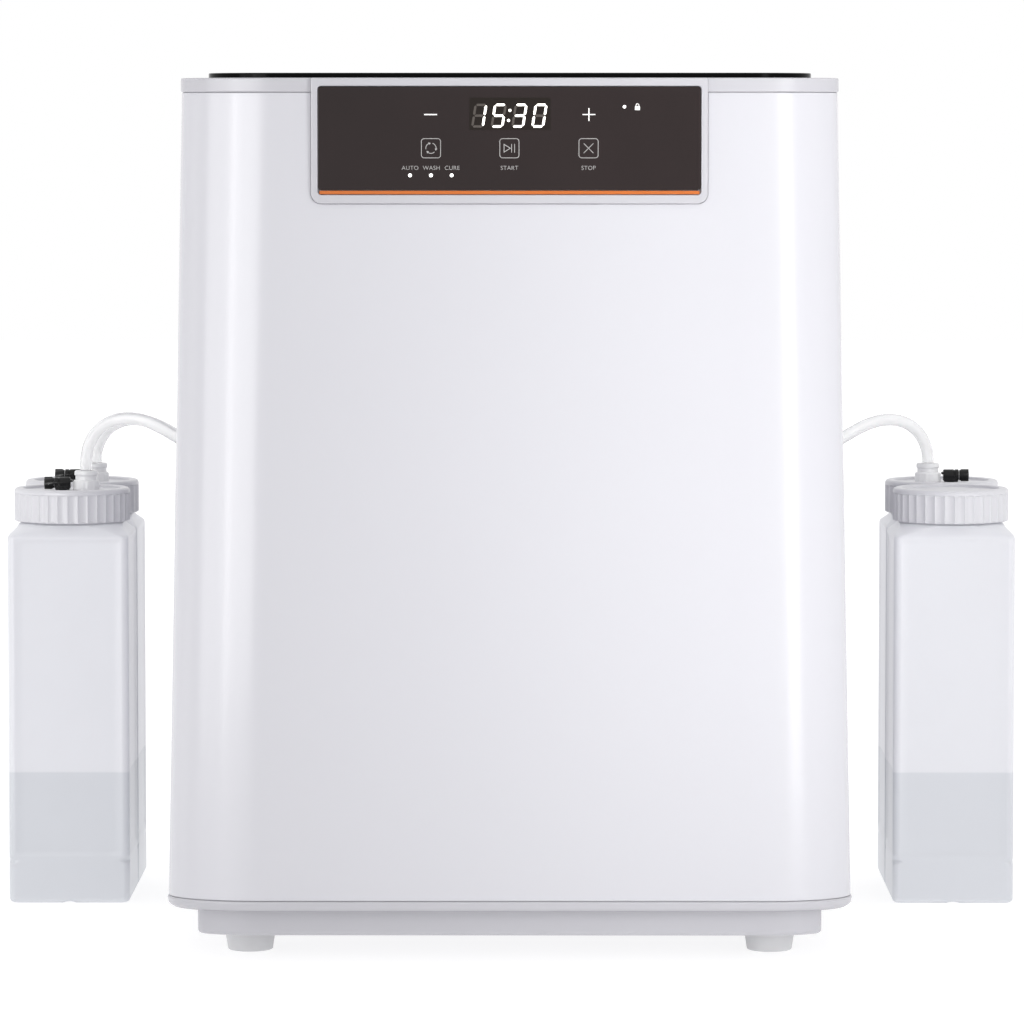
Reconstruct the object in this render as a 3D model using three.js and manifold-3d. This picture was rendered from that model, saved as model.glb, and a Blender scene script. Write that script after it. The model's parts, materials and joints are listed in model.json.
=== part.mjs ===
// Resin wash station: a casing with a wash tank, and four liquid bottles beside it.
// Millimetres, +Z up. The front faces -Y. The origin is on the floor, at the middle of the whole object.
import * as THREE from 'three';
import { mergeVertices } from 'three/addons/utils/BufferGeometryUtils.js';
import Module from 'manifold-3d';

// ---- Driving dimensions ----
const GAP = 0.3;                 // clearance between neighbouring pieces
const REACH = 600;               // longer than the object, for cutting tools

const CASING_BOTTOM = { halfX: 201, halfY: 205, z: 37 };
const CASING_TOP = { halfX: 192, halfY: 196, z: 508.7 };
const CORNER = { x: 54, y: 31 };  // soft vertical corners, longer along X than along Y
const CORNER_STEPS = 6;
const WALL = 3;

const FOOT = {
  x: 154.5, y: 145, height: 14, bottomRadius: 13.5, topRadius: 15.2, studRadius: 4, studTop: 20,
};
const PLINTH = { bottom: 14, top: 30, inset: 17, wall: 9, floor: 3, chamfer: 2, studDepth: 8 };
const BASE_RIM = {
  bottom: 30, proud: 0.8, inner: 27, lowerInset: 3, middleInset: 0.4, middle: 32, full: 34,
};
const TOP_RIM = { top: 517, proud: 0.6, recessFloor: 514.7 };

const LID = { halfX: 177.5, front: -181, rear: 160, bottom: 515, top: 520, corner: 38 };
const LID_PLAY = 1;              // gap round the lid plate and its frame
const LID_FRAME = { inset: 4, wall: 12, bottom: 507 };
const GASKET = { inset: 8, wall: 6, bottom: 505.3 };
const HINGE = { x: 110, y: 170, z: 510, pinRadius: 2.5, pinLength: 44, lugHalf: 9, lugRadius: 5.5 };
const BOSS = { play: 1, cheek: 12, halfY: 7, below: 6 };   // the two cheeks that hold each hinge pin

const BEZEL = { halfX: 115.2, bottom: 444, corner: 6, front: -199.2, back: -193 };
const GLASS = { halfX: 111.3, bottom: 449.2, top: 512.2, thickness: 2, front: -198.9 };
const ACCENT = { height: 2.4, endGap: 1 };
const PANEL_OPENING_PLAY = 4;    // room beside the panel, inside the casing
const BEZEL_WINDOW = { halfX: 103, bottom: 456, top: 504 };
const DISPLAY = { x: 0.3, z: 495.5, halfX: 26, halfZ: 10.5, back: -190 };
const BOARD = { halfX: 107, bottom: 452, top: 501, front: -189.7, thickness: 1.6, post: 6 };
const CONNECTOR = { halfX: 30, bottom: 458, height: 9, depth: 10 };

const TANK = {
  y: -12, halfX: 165, halfY: 152, corner: 42, bottom: 150, floor: 3, flangeBottom: 502, top: 505,
};
const TANK_PIN = { radius: 3, height: 9 };
const DRAIN = {
  x: 100, y: 60, holeRadius: 7, flangeRadius: 18, pipeRadius: 9, drop: 34,
  outletZ: 26, outlet: 50, outletRadius: 8,
};
const LEDGE = { bottom: 496, top: 501.7, width: 5, rear: 150 };
const UV_BAR = { halfY: 15, depth: 10, bottom: 225, top: 455 };
const IMPELLER = { discRadius: 55, hubRadius: 14, bottom: 154.5, discHeight: 3, bladeHeight: 10, blades: 5 };
const MAGNET_DISC = { radius: 45, bottom: 136, height: 8.5, shaftRadius: 4, shaftBottom: 108 };
const MOTOR = { radius: 28, bottom: 80, top: 126.7 };
const BRACKET = { halfX: 60, halfY: 42, plateBottom: 127, plateTop: 130, leg: 8, hole: 12 };
const SUPPLY = { halfX: 80, front: -168, rear: -84, height: 38, step: 10, stepHeight: 14, edge: 6 };
const PUMP = {
  x: 118, plateHalfX: 26, front: -70, rear: 10, plate: 5,
  motorY: -14, motorZ: 30, motorLength: 56, motorRadius: 22,
  headHalfX: 24, headFront: -66, headRear: -40, headHeight: 56,
  pipeX: 10, pipeY: -53, pipeRadius: 4, pipeHeight: 68,
  saddleHalfX: 10, saddleFront: -30, saddleRear: 2, saddleHeight: 20,
};

const BASKET = { halfX: 125, halfY: 115, corner: 28, wall: 3, bottom: 176, top: 396, leg: 12, legInset: 16 };
const BASKET_SLOTS = { count: 5, pitch: 34, half: 8, above: 14, below: 22 };
const BASKET_FLOOR = { pitch: 62, half: 22 };
const HANDLE = { pivotZ: 402, armX: 121, reach: 95, rod: 3, gripRadius: 7, gripLength: 90, earHalf: 9 };

const FAN = { x: 62, z: 92, half: 40, holeRadius: 38, bladeRadius: 36, hubRadius: 15, depth: 25, blades: 7 };
const REAR_COVER = { halfX: 130, bottom: 52, top: 470, lip: 7, front: 150, thickness: 3.8, lipDepth: 5.5 };
const FAN_SLOTS = { count: 7, pitch: 10, halfHeight: 2.2, radius: 36 };
const INLET = {
  x: -78, z: 84, halfX: 14, halfZ: 10.5, flangeX: 25, flangeZ: 15, proud: 1.6, depth: 26,
  socketX: 11.5, socketZ: 8,
};
const SWITCH = { x: -32, z: 84, halfX: 7, halfZ: 10, sunk: 2.5, play: 1 };

const BOTTLE = { x: 278.4, half: 38, corner: 6, wall: 2, shoulder: 231, neckBase: 238, neckTop: 256.2 };
const BOTTLE_Y = { front: 84, rear: 163.4 };
const NECK_RADIUS = 32;
const CAP = { radius: 36.5, ribDepth: 1, ribs: 36, bottom: 239.5, top: 260.5, plate: 4, dish: 1.8, rim: 6 };
const SEAT = CAP.top - CAP.dish + GAP;   // where the fittings stand on the caps
const FITTING = { inboard: 8.9, baseRadius: 8.5, stageRadius: 6.8, collarRadius: 7.4, top: 271, bore: 3 };
const DIP_TUBE = { radius: 3, bottom: 8 };
const VALVE = {
  outboard: 0.9, z: 263.1, radius: 3.8, body: 10.2, knob: 6.2, knobRadius: 3.5, wing: 3.9, neckRadius: 2.5,
};
const HOSE = { radius: 3.75, sides: 10, steps: 12 };
const PORT = {
  flangeRadius: 13, flange: 3, sleeveRadius: 5.5, inside: 14, holeX: 195, holeRadius: 9.5, boreRadius: 2.5,
};

// Hose routes, from the fitting on the cap to the port in the casing's side.
const HOSE_ROUTES = {
  left_front: [
    [-269.5, 84, 271.3], [-269.5, 84, 276], [-269.1, 83.9, 281], [-267.6, 83.5, 287], [-265, 82.8, 292.2],
    [-261.4, 81.9, 296.8], [-256.9, 80.8, 300.4], [-251.8, 79.6, 302.9], [-246.2, 78.2, 304.3],
    [-240.3, 76.9, 304.5], [-234.4, 75.6, 303.8], [-228.6, 74.4, 302.1], [-223, 73.3, 299.7],
    [-217.8, 72.4, 296.9], [-212.9, 71.7, 294.1], [-207.3, 71, 290.7],
  ],
  left_rear: [
    [-269.5, 163.4, 271.3], [-269.4, 163.3, 275], [-268.6, 162.9, 280], [-266.7, 162, 285.2],
    [-263.8, 160.6, 290], [-260, 158.8, 293.9], [-255.4, 156.7, 296.9], [-250.2, 154.4, 298.8],
    [-244.6, 152, 299.6], [-238.9, 149.7, 299.4], [-233.2, 147.6, 298.2], [-227.5, 145.7, 296.2],
    [-222.1, 144.1, 293.6], [-217, 142.8, 290.8], [-212.1, 141.7, 288], [-207.3, 140.8, 285.2],
  ],
  right_rear: [
    [269.5, 163.4, 271.3], [269.4, 163.3, 275], [268.6, 162.9, 280], [266.7, 162, 285.2],
    [263.8, 160.6, 290], [260, 158.8, 293.9], [255.4, 156.7, 296.9], [250.2, 154.4, 298.8],
    [244.6, 152, 299.6], [238.9, 149.7, 299.4], [233.2, 147.6, 298.2], [227.5, 145.7, 296.2],
    [222.1, 144.1, 293.6], [217, 142.8, 290.8], [212.1, 141.7, 288], [207.3, 140.8, 285.2],
  ],
};

// ---- Materials ----
const paint = (color, roughness, metalness = 0) => ({ color, roughness, metalness });
const LOOKS = {
  casing: paint(0xe9e9f0, 0.25),
  greyTrim: paint(0xc9c8ce, 0.4),
  footGrey: paint(0xbdbcc0, 0.6),
  blackGloss: paint(0x101011, 0.08),
  darkGlass: paint(0x393333, 0.12),
  orange: paint(0xd66b2a, 0.4),
  blackPlastic: paint(0x151515, 0.4),
  steel: paint(0xb9bcc0, 0.35, 1),
  rubber: paint(0x2a2a2c, 0.85),
  board: paint(0x1f5a35, 0.6),
  tank: paint(0xa7abb0, 0.3, 0.8),
  bottle: paint(0xe2e4e9, 0.45),
  cap: paint(0xcbcad0, 0.45),
  whitePlastic: paint(0xf2f2f2, 0.4),
  hose: paint(0xf0f0f4, 0.3),
  uv: paint(0x9a86d8, 0.2),
};

const station = new THREE.Group();

function addPiece(name, geometry, look) {
  const material = new THREE.MeshStandardMaterial(LOOKS[look]);
  const mesh = new THREE.Mesh(geometry, material);
  mesh.name = name;
  station.add(mesh);
  return mesh;
}

// ---- Solids ----
const wasm = await Module();
wasm.setup();

function solid(geometry) {
  geometry.deleteAttribute('normal');
  geometry.deleteAttribute('uv');
  const merged = mergeVertices(geometry, 1e-4);
  return new wasm.Manifold(new wasm.Mesh({
    numProp: 3,
    vertProperties: new Float32Array(merged.attributes.position.array),
    triVerts: new Uint32Array(merged.index.array),
  }));
}

function geometryOf(body) {
  const mesh = body.getMesh();
  const geometry = new THREE.BufferGeometry();
  geometry.setAttribute('position', new THREE.BufferAttribute(mesh.vertProperties, 3));
  geometry.setIndex(new THREE.BufferAttribute(mesh.triVerts, 1));
  geometry.computeVertexNormals();
  return geometry;
}

const joined = (first, ...rest) => rest.reduce((sum, next) => sum.add(next), first);
const cut = (body, ...tools) => tools.reduce((left, tool) => left.subtract(tool), body);

// A box given by its lowest and highest corners.
function block(x0, x1, y0, y1, z0, z1) {
  const geometry = new THREE.BoxGeometry(x1 - x0, y1 - y0, z1 - z0);
  geometry.translate((x0 + x1) / 2, (y0 + y1) / 2, (z0 + z1) / 2);
  return solid(geometry);
}

// A round bar or cone between two heights.
function post(x, y, z0, z1, radius, topRadius = radius, sides = 24) {
  const geometry = new THREE.CylinderGeometry(topRadius, radius, z1 - z0, sides);
  geometry.rotateX(Math.PI / 2);
  geometry.translate(x, y, (z0 + z1) / 2);
  return solid(geometry);
}

// A round bar along X or along Y, centred on a point.
function bar(axis, centre, length, radius, sides = 20) {
  const geometry = new THREE.CylinderGeometry(radius, radius, length, sides);
  if (axis === 'x') geometry.rotateZ(Math.PI / 2);
  geometry.translate(...centre);
  return solid(geometry);
}

// A round bar between two points.
function barBetween(start, end, radius, sides = 20) {
  const along = end.clone().sub(start);
  const geometry = new THREE.CylinderGeometry(radius, radius, along.length(), sides);
  const upright = new THREE.Vector3(0, 1, 0);
  const turn = new THREE.Quaternion().setFromUnitVectors(upright, along.clone().normalize());
  geometry.applyQuaternion(turn);
  const middle = start.clone().add(end).multiplyScalar(0.5);
  geometry.translate(middle.x, middle.y, middle.z);
  return solid(geometry);
}

// A closed outline with four quarter-ellipse corners, counter-clockwise from above.
function roundedOutline(halfX, halfY, cornerX, cornerY = cornerX, steps = CORNER_STEPS) {
  const points = [];
  const quadrants = [[1, 1, 0], [-1, 1, 1], [-1, -1, 2], [1, -1, 3]];
  for (const [signX, signY, quarter] of quadrants) {
    for (let i = 0; i <= steps; i++) {
      const angle = (quarter + i / steps) * Math.PI / 2;
      const x = signX * (halfX - cornerX) + cornerX * Math.cos(angle);
      const y = signY * (halfY - cornerY) + cornerY * Math.sin(angle);
      points.push(new THREE.Vector2(x, y));
    }
  }
  return points;
}

// A solid through outlines with equal point counts, one above the other.
function loft(levels) {
  const count = levels[0].outline.length;
  const positions = [];
  for (const { outline, z, y = 0 } of levels) {
    for (const point of outline) positions.push(point.x, point.y + y, z);
  }
  const faces = [];
  for (let level = 0; level < levels.length - 1; level++) {
    for (let i = 0; i < count; i++) {
      const next = (i + 1) % count;
      const low = level * count;
      const high = low + count;
      faces.push(low + i, low + next, high + next, low + i, high + next, high + i);
    }
  }
  const last = (levels.length - 1) * count;
  for (let i = 1; i < count - 1; i++) {
    faces.push(0, i + 1, i);
    faces.push(last, last + i, last + i + 1);
  }
  const geometry = new THREE.BufferGeometry();
  geometry.setAttribute('position', new THREE.Float32BufferAttribute(positions, 3));
  geometry.setIndex(faces);
  return solid(geometry);
}

// The casing's outline at a height, moved inwards by an inset.
function casingOutline(z, inset) {
  const t = (z - CASING_BOTTOM.z) / (CASING_TOP.z - CASING_BOTTOM.z);
  const halfX = THREE.MathUtils.lerp(CASING_BOTTOM.halfX, CASING_TOP.halfX, t) - inset;
  const halfY = THREE.MathUtils.lerp(CASING_BOTTOM.halfY, CASING_TOP.halfY, t) - inset;
  const cornerX = Math.max(CORNER.x - inset, 4);
  const cornerY = Math.max(CORNER.y - inset, 4);
  return roundedOutline(halfX, halfY, cornerX, cornerY);
}

function casingBlock(z0, z1, inset) {
  return loft([
    { outline: casingOutline(z0, inset), z: z0 },
    { outline: casingOutline(z1, inset), z: z1 },
  ]);
}

// A straight-sided block with rounded corners, centred at x = 0.
function roundedBlock(halfX, y0, y1, corner, z0, z1, steps = CORNER_STEPS) {
  const outline = roundedOutline(halfX, (y1 - y0) / 2, corner, corner, steps);
  const y = (y0 + y1) / 2;
  return loft([{ outline, z: z0, y }, { outline, z: z1, y }]);
}

const casingHalfX = (z) => casingOutline(z, 0)[0].x;

// ---- Base ----
function addFeet() {
  for (const [place, signX, signY] of [['front_left', -1, -1], ['front_right', 1, -1],
    ['rear_left', -1, 1], ['rear_right', 1, 1]]) {
    const x = signX * FOOT.x;
    const y = signY * FOOT.y;
    const pad = post(x, y, 0, FOOT.height - GAP, FOOT.bottomRadius, FOOT.topRadius, 28);
    const stud = post(x, y, FOOT.height - 1, FOOT.studTop, FOOT.studRadius, FOOT.studRadius, 12);
    addPiece(`foot_${place}`, geometryOf(pad.add(stud)), 'footGrey');
  }
}

function addBase() {
  const plinthOutline = casingOutline(CASING_BOTTOM.z, PLINTH.inset);
  const chamferOutline = casingOutline(CASING_BOTTOM.z, PLINTH.inset + PLINTH.chamfer);
  let plinth = loft([
    { outline: chamferOutline, z: PLINTH.bottom },
    { outline: plinthOutline, z: PLINTH.bottom + PLINTH.chamfer },
    { outline: plinthOutline, z: PLINTH.top },
  ]);
  const innerOutline = casingOutline(CASING_BOTTOM.z, PLINTH.inset + PLINTH.wall);
  const inner = loft([
    { outline: innerOutline, z: PLINTH.bottom + PLINTH.floor },
    { outline: innerOutline, z: PLINTH.top + 1 },
  ]);
  const studHoles = [];
  const holeRadius = FOOT.studRadius + GAP;
  for (const x of [-FOOT.x, FOOT.x]) {
    for (const y of [-FOOT.y, FOOT.y]) {
      const holeTop = PLINTH.bottom + PLINTH.studDepth;
      studHoles.push(post(x, y, PLINTH.bottom - 1, holeTop, holeRadius, holeRadius, 12));
    }
  }
  plinth = cut(plinth, inner, ...studHoles);
  addPiece('base_plate', geometryOf(plinth), 'greyTrim');

  const rimOutline = casingOutline(CASING_BOTTOM.z, -BASE_RIM.proud);
  const rimLower = casingOutline(CASING_BOTTOM.z, BASE_RIM.lowerInset);
  const rimMiddle = casingOutline(CASING_BOTTOM.z, BASE_RIM.middleInset);
  const opening = casingOutline(CASING_BOTTOM.z, BASE_RIM.inner);
  const ring = loft([
    { outline: rimLower, z: BASE_RIM.bottom + GAP },
    { outline: rimMiddle, z: BASE_RIM.middle },
    { outline: rimOutline, z: BASE_RIM.full },
    { outline: rimOutline, z: CASING_BOTTOM.z - GAP },
  ]);
  const hole = loft([
    { outline: opening, z: BASE_RIM.bottom - 1 },
    { outline: opening, z: CASING_BOTTOM.z + 1 },
  ]);
  addPiece('base_rim', geometryOf(ring.subtract(hole)), 'greyTrim');
}

// ---- Casing ----
// Each port: where its hose ends, the hose's direction there, and where that line meets the casing's side.
const portPlaces = () => Object.entries(HOSE_ROUTES).map(([place, route]) => {
  const end = new THREE.Vector3(...route[route.length - 1]);
  const before = new THREE.Vector3(...route[route.length - 2]);
  const direction = end.clone().sub(before).normalize();
  const side = Math.sign(end.x);
  const toWall = (Math.abs(end.x) - casingHalfX(end.z)) / Math.abs(direction.x);
  const wall = end.clone().addScaledVector(direction, toWall);
  return { place, side, end, direction, wall };
});

function addShell() {
  const bottom = CASING_BOTTOM.z;
  const top = CASING_TOP.z - GAP;
  const skin = cut(casingBlock(bottom, top, 0), casingBlock(bottom - 1, top + 1, WALL));
  const panelHalf = BEZEL.halfX + PANEL_OPENING_PLAY;
  const ledgeRing = cut(
    casingBlock(LEDGE.bottom, LEDGE.top, WALL / 2),
    casingBlock(LEDGE.bottom - 1, LEDGE.top + 1, WALL + LEDGE.width),
    block(-REACH, REACH, LEDGE.rear, REACH, LEDGE.bottom - 1, LEDGE.top + 1),
    block(-panelHalf, panelHalf, -REACH, 0, LEDGE.bottom - 1, LEDGE.top + 1),
  );
  const rearOpening = block(
    -REAR_COVER.halfX, REAR_COVER.halfX, REAR_COVER.front, REACH, REAR_COVER.bottom, REAR_COVER.top,
  );
  const bezelNotch = block(-BEZEL.halfX - GAP, BEZEL.halfX + GAP, -REACH, 0, BEZEL.bottom - GAP, REACH);
  const portHoles = portPlaces().map(({ side, wall }) => (
    bar('x', [side * PORT.holeX, wall.y, wall.z], 40, PORT.holeRadius)
  ));
  const shell = cut(joined(skin, ledgeRing), rearOpening, bezelNotch, ...portHoles);
  addPiece('outer_shell', geometryOf(shell), 'casing');
}

// The rear cover fills the opening in the shell's back, with a lip behind the shell's wall.
function addRearCover() {
  const { halfX, bottom, top, lip, front, thickness, lipDepth } = REAR_COVER;
  const low = bottom - 2 * lip;
  const high = top + 2 * lip;
  const skin = cut(casingBlock(low, high, 0), casingBlock(low - 1, high + 1, thickness));
  const lipSkin = cut(casingBlock(low, high, WALL + GAP), casingBlock(low - 1, high + 1, lipDepth));
  const window = block(-halfX + GAP, halfX - GAP, front, REACH, bottom + GAP, top - GAP);
  const lipWindow = block(-halfX - lip, halfX + lip, front, REACH, bottom - lip, top + lip);
  const throughCover = (x, z, halfWidth, halfHeight) => (
    block(x - halfWidth, x + halfWidth, front, REACH, z - halfHeight, z + halfHeight)
  );
  const tools = [
    throughCover(INLET.x, INLET.z, INLET.halfX + GAP, INLET.halfZ + GAP),
    throughCover(SWITCH.x, SWITCH.z, SWITCH.halfX + SWITCH.play, SWITCH.halfZ + 2 * SWITCH.play),
  ];
  for (let i = 0; i < FAN_SLOTS.count; i++) {
    const offset = (i - (FAN_SLOTS.count - 1) / 2) * FAN_SLOTS.pitch;
    const halfWidth = Math.sqrt(FAN_SLOTS.radius ** 2 - offset ** 2);
    tools.push(throughCover(FAN.x, FAN.z + offset, halfWidth, FAN_SLOTS.halfHeight));
  }
  const cover = joined(skin.intersect(window), lipSkin.intersect(lipWindow));
  addPiece('rear_cover', geometryOf(cut(cover, ...tools)), 'greyTrim');
}

function addTopRim() {
  const bottom = CASING_TOP.z;
  const outer = casingOutline(CASING_TOP.z, -TOP_RIM.proud);
  const softened = casingOutline(CASING_TOP.z, 0.4);
  const ring = loft([
    { outline: outer, z: bottom },
    { outline: outer, z: TOP_RIM.top - 1 },
    { outline: softened, z: TOP_RIM.top },
  ]);
  const recess = roundedBlock(
    LID.halfX + LID_PLAY, LID.front - LID_PLAY, LID.rear + LID_PLAY,
    LID.corner + LID_PLAY, TOP_RIM.recessFloor, TOP_RIM.top + 1,
  );
  const frameInset = LID_FRAME.inset - LID_PLAY;
  const opening = roundedBlock(
    LID.halfX - frameInset, LID.front + frameInset, LID.rear - frameInset,
    LID.corner - frameInset, bottom - 1, TOP_RIM.top + 1,
  );
  const bezelNotch = block(
    -BEZEL.halfX - GAP, BEZEL.halfX + GAP, -REACH, BEZEL.back + GAP, bottom - 1, TOP_RIM.top + 1,
  );
  const bosses = [];
  const tools = [recess, opening, bezelNotch];
  for (const side of [-1, 1]) {
    const x = side * HINGE.x;
    const slotHalf = HINGE.lugHalf + BOSS.play;
    const bossHalf = slotHalf + BOSS.cheek;
    const front = HINGE.y - BOSS.halfY;
    const rear = HINGE.y + BOSS.halfY;
    bosses.push(block(x - bossHalf, x + bossHalf, front, rear, HINGE.z - BOSS.below, bottom + 1));
    tools.push(block(
      x - slotHalf, x + slotHalf, LID.rear - BOSS.cheek, rear + 1, bottom - REACH, TOP_RIM.top + 1,
    ));
    tools.push(bar('x', [x, HINGE.y, HINGE.z], HINGE.pinLength + 2 * GAP, HINGE.pinRadius + GAP));
  }
  addPiece('top_rim', geometryOf(cut(joined(ring, ...bosses), ...tools)), 'greyTrim');
}

// ---- Lid ----
function lidRing(inset, wall, z0, z1) {
  const outer = roundedBlock(
    LID.halfX - inset, LID.front + inset, LID.rear - inset, LID.corner - inset, z0, z1,
  );
  const hole = inset + wall;
  const inner = roundedBlock(
    LID.halfX - hole, LID.front + hole, LID.rear - hole, LID.corner - hole, z0 - 1, z1 + 1,
  );
  return outer.subtract(inner);
}

function addLid() {
  const plate = roundedBlock(LID.halfX, LID.front, LID.rear, LID.corner, LID.bottom, LID.top, 10);
  addPiece('lid_panel', geometryOf(plate), 'blackGloss');

  const frameTop = LID.bottom - GAP;
  const parts = [lidRing(LID_FRAME.inset, LID_FRAME.wall, LID_FRAME.bottom, frameTop)];
  const holes = [];
  for (const side of [-1, 1]) {
    const x = side * HINGE.x;
    const rearEdge = LID.rear - LID_FRAME.inset;
    parts.push(block(
      x - HINGE.lugHalf, x + HINGE.lugHalf, rearEdge - 2, HINGE.y, HINGE.z - 3, frameTop,
    ));
    parts.push(bar('x', [x, HINGE.y, HINGE.z], 2 * HINGE.lugHalf, HINGE.lugRadius));
    holes.push(bar('x', [x, HINGE.y, HINGE.z], 4 * HINGE.lugHalf, HINGE.pinRadius + GAP));
    const pin = bar('x', [x, HINGE.y, HINGE.z], HINGE.pinLength, HINGE.pinRadius, 16);
    addPiece(side < 0 ? 'hinge_pin_left' : 'hinge_pin_right', geometryOf(pin), 'steel');
  }
  addPiece('lid_frame', geometryOf(cut(joined(...parts), ...holes)), 'blackPlastic');

  const gasket = lidRing(GASKET.inset, GASKET.wall, GASKET.bottom, LID_FRAME.bottom - GAP);
  addPiece('lid_gasket', geometryOf(gasket), 'rubber');
}

// ---- Control panel ----
// Turns an outline in the XZ plane into a plate between two depths.
function plateXZ(outline, y0, y1) {
  const shape = new THREE.Shape(outline);
  const geometry = new THREE.ExtrudeGeometry(shape, { depth: y1 - y0, bevelEnabled: false, steps: 1 });
  geometry.rotateX(Math.PI / 2);
  geometry.translate(0, y1, 0);
  return solid(geometry);
}

function bezelOutline() {
  const { halfX, bottom, corner } = BEZEL;
  const shape = new THREE.Shape();
  shape.moveTo(halfX, TOP_RIM.top);
  shape.lineTo(-halfX, TOP_RIM.top);
  shape.lineTo(-halfX, bottom + corner);
  shape.absarc(-halfX + corner, bottom + corner, corner, Math.PI, Math.PI * 1.5, false);
  shape.absarc(halfX - corner, bottom + corner, corner, Math.PI * 1.5, Math.PI * 2, false);
  return shape.getPoints(6);
}

function addPanel() {
  const midZ = (GLASS.bottom + GLASS.top) / 2;
  const halfZ = (GLASS.top - GLASS.bottom) / 2;
  const recessOutline = roundedOutline(GLASS.halfX, halfZ, 2, 2, 3);
  const recessDepth = GLASS.front + GLASS.thickness + GAP;
  const lift = (outline, z) => outline.map((point) => new THREE.Vector2(point.x, point.y + z));
  const recess = plateXZ(lift(recessOutline, midZ), BEZEL.front - 1, recessDepth);
  const window = block(
    -BEZEL_WINDOW.halfX, BEZEL_WINDOW.halfX, BEZEL.front - 1, BEZEL.back + 1,
    BEZEL_WINDOW.bottom, BEZEL_WINDOW.top,
  );
  const posts = [];
  const half = BOARD.post / 2;
  const postX = BEZEL_WINDOW.halfX + half;
  for (const x of [-postX, postX]) {
    for (const z of [BEZEL_WINDOW.bottom + half, BEZEL_WINDOW.top - half]) {
      posts.push(block(x - half, x + half, BEZEL.back - 1, BOARD.front - GAP, z - half, z + half));
    }
  }
  const bezel = joined(cut(plateXZ(bezelOutline(), BEZEL.front, BEZEL.back), recess, window), ...posts);
  addPiece('panel_bezel', geometryOf(bezel), 'greyTrim');

  const glassBottom = GLASS.bottom + ACCENT.height + GAP;
  const glassOutline = roundedOutline(GLASS.halfX - GAP, (GLASS.top - GAP - glassBottom) / 2, 1.8, 1.8, 3);
  const glassZ = (GLASS.top - GAP + glassBottom) / 2;
  const glass = plateXZ(lift(glassOutline, glassZ), GLASS.front, GLASS.front + GLASS.thickness);
  addPiece('panel_glass', geometryOf(glass), 'darkGlass');

  const strip = block(
    -GLASS.halfX + ACCENT.endGap, GLASS.halfX - ACCENT.endGap, GLASS.front, GLASS.front + GLASS.thickness,
    GLASS.bottom + GAP, GLASS.bottom + ACCENT.height,
  );
  addPiece('panel_accent_strip', geometryOf(strip), 'orange');

  const display = block(
    DISPLAY.x - DISPLAY.halfX, DISPLAY.x + DISPLAY.halfX,
    GLASS.front + GLASS.thickness + GAP, DISPLAY.back,
    DISPLAY.z - DISPLAY.halfZ, Math.min(DISPLAY.z + DISPLAY.halfZ, BEZEL_WINDOW.top - GAP),
  );
  addPiece('display_module', geometryOf(display), 'blackPlastic');

  const boardPlate = block(
    -BOARD.halfX, BOARD.halfX, BOARD.front, BOARD.front + BOARD.thickness, BOARD.bottom, BOARD.top,
  );
  const connector = block(
    -CONNECTOR.halfX, CONNECTOR.halfX, BOARD.front + 1, BOARD.front + CONNECTOR.depth,
    CONNECTOR.bottom, CONNECTOR.bottom + CONNECTOR.height,
  );
  addPiece('control_board', geometryOf(joined(boardPlate, connector)), 'board');
}

// ---- Tank and what works in it ----
function addTank() {
  const { y, halfX, halfY, corner, bottom, floor, flangeBottom, top } = TANK;
  const panelHalf = BEZEL.halfX + PANEL_OPENING_PLAY;
  const tub = roundedBlock(halfX, y - halfY, y + halfY, corner, bottom, top);
  const flange = cut(
    casingBlock(flangeBottom, top, WALL + GAP + 0.4),
    block(-REACH, REACH, LID.rear - 6, REACH, flangeBottom - 1, top + 1),
    block(-panelHalf, panelHalf, -REACH, LID.front - 1, flangeBottom - 1, top + 1),
  );
  const hollow = roundedBlock(
    halfX - WALL, y - halfY + WALL, y + halfY - WALL, corner - WALL, bottom + floor, top + 1,
  );
  const { holeRadius } = DRAIN;
  const drainHole = post(DRAIN.x, DRAIN.y, bottom - 1, bottom + floor + 1, holeRadius, holeRadius, 16);
  const pin = post(0, y, bottom + 1, bottom + floor + TANK_PIN.height, TANK_PIN.radius, TANK_PIN.radius, 16);
  const tank = joined(cut(joined(tub, flange), hollow, drainHole), pin);
  addPiece('wash_tank', geometryOf(tank), 'tank');

  const { flangeRadius, pipeRadius, drop, outletZ, outlet, outletRadius } = DRAIN;
  const pipeWall = 3;
  const elbow = joined(
    post(DRAIN.x, DRAIN.y, bottom - 5, bottom - GAP, flangeRadius, flangeRadius, 20),
    post(DRAIN.x, DRAIN.y, bottom - drop, bottom - 4, pipeRadius, pipeRadius, 20),
    bar('y', [DRAIN.x, DRAIN.y - outlet / 2, bottom - outletZ], outlet, outletRadius),
  );
  const boreRadius = outletRadius - pipeWall;
  const bore = joined(
    post(DRAIN.x, DRAIN.y, bottom - drop + pipeWall, bottom + 1, boreRadius, boreRadius, 16),
    bar('y', [DRAIN.x, DRAIN.y - outlet / 2 - 1, bottom - outletZ], outlet + 2, boreRadius),
  );
  addPiece('drain_elbow', geometryOf(elbow.subtract(bore)), 'blackPlastic');

  for (const side of [-1, 1]) {
    const outerX = halfX - WALL - GAP;
    const middleX = side * (outerX - UV_BAR.depth / 2);
    const barBody = block(
      middleX - UV_BAR.depth / 2, middleX + UV_BAR.depth / 2,
      y - UV_BAR.halfY, y + UV_BAR.halfY, UV_BAR.bottom, UV_BAR.top,
    );
    addPiece(side < 0 ? 'uv_light_bar_left' : 'uv_light_bar_right', geometryOf(barBody), 'uv');
  }
}

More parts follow.
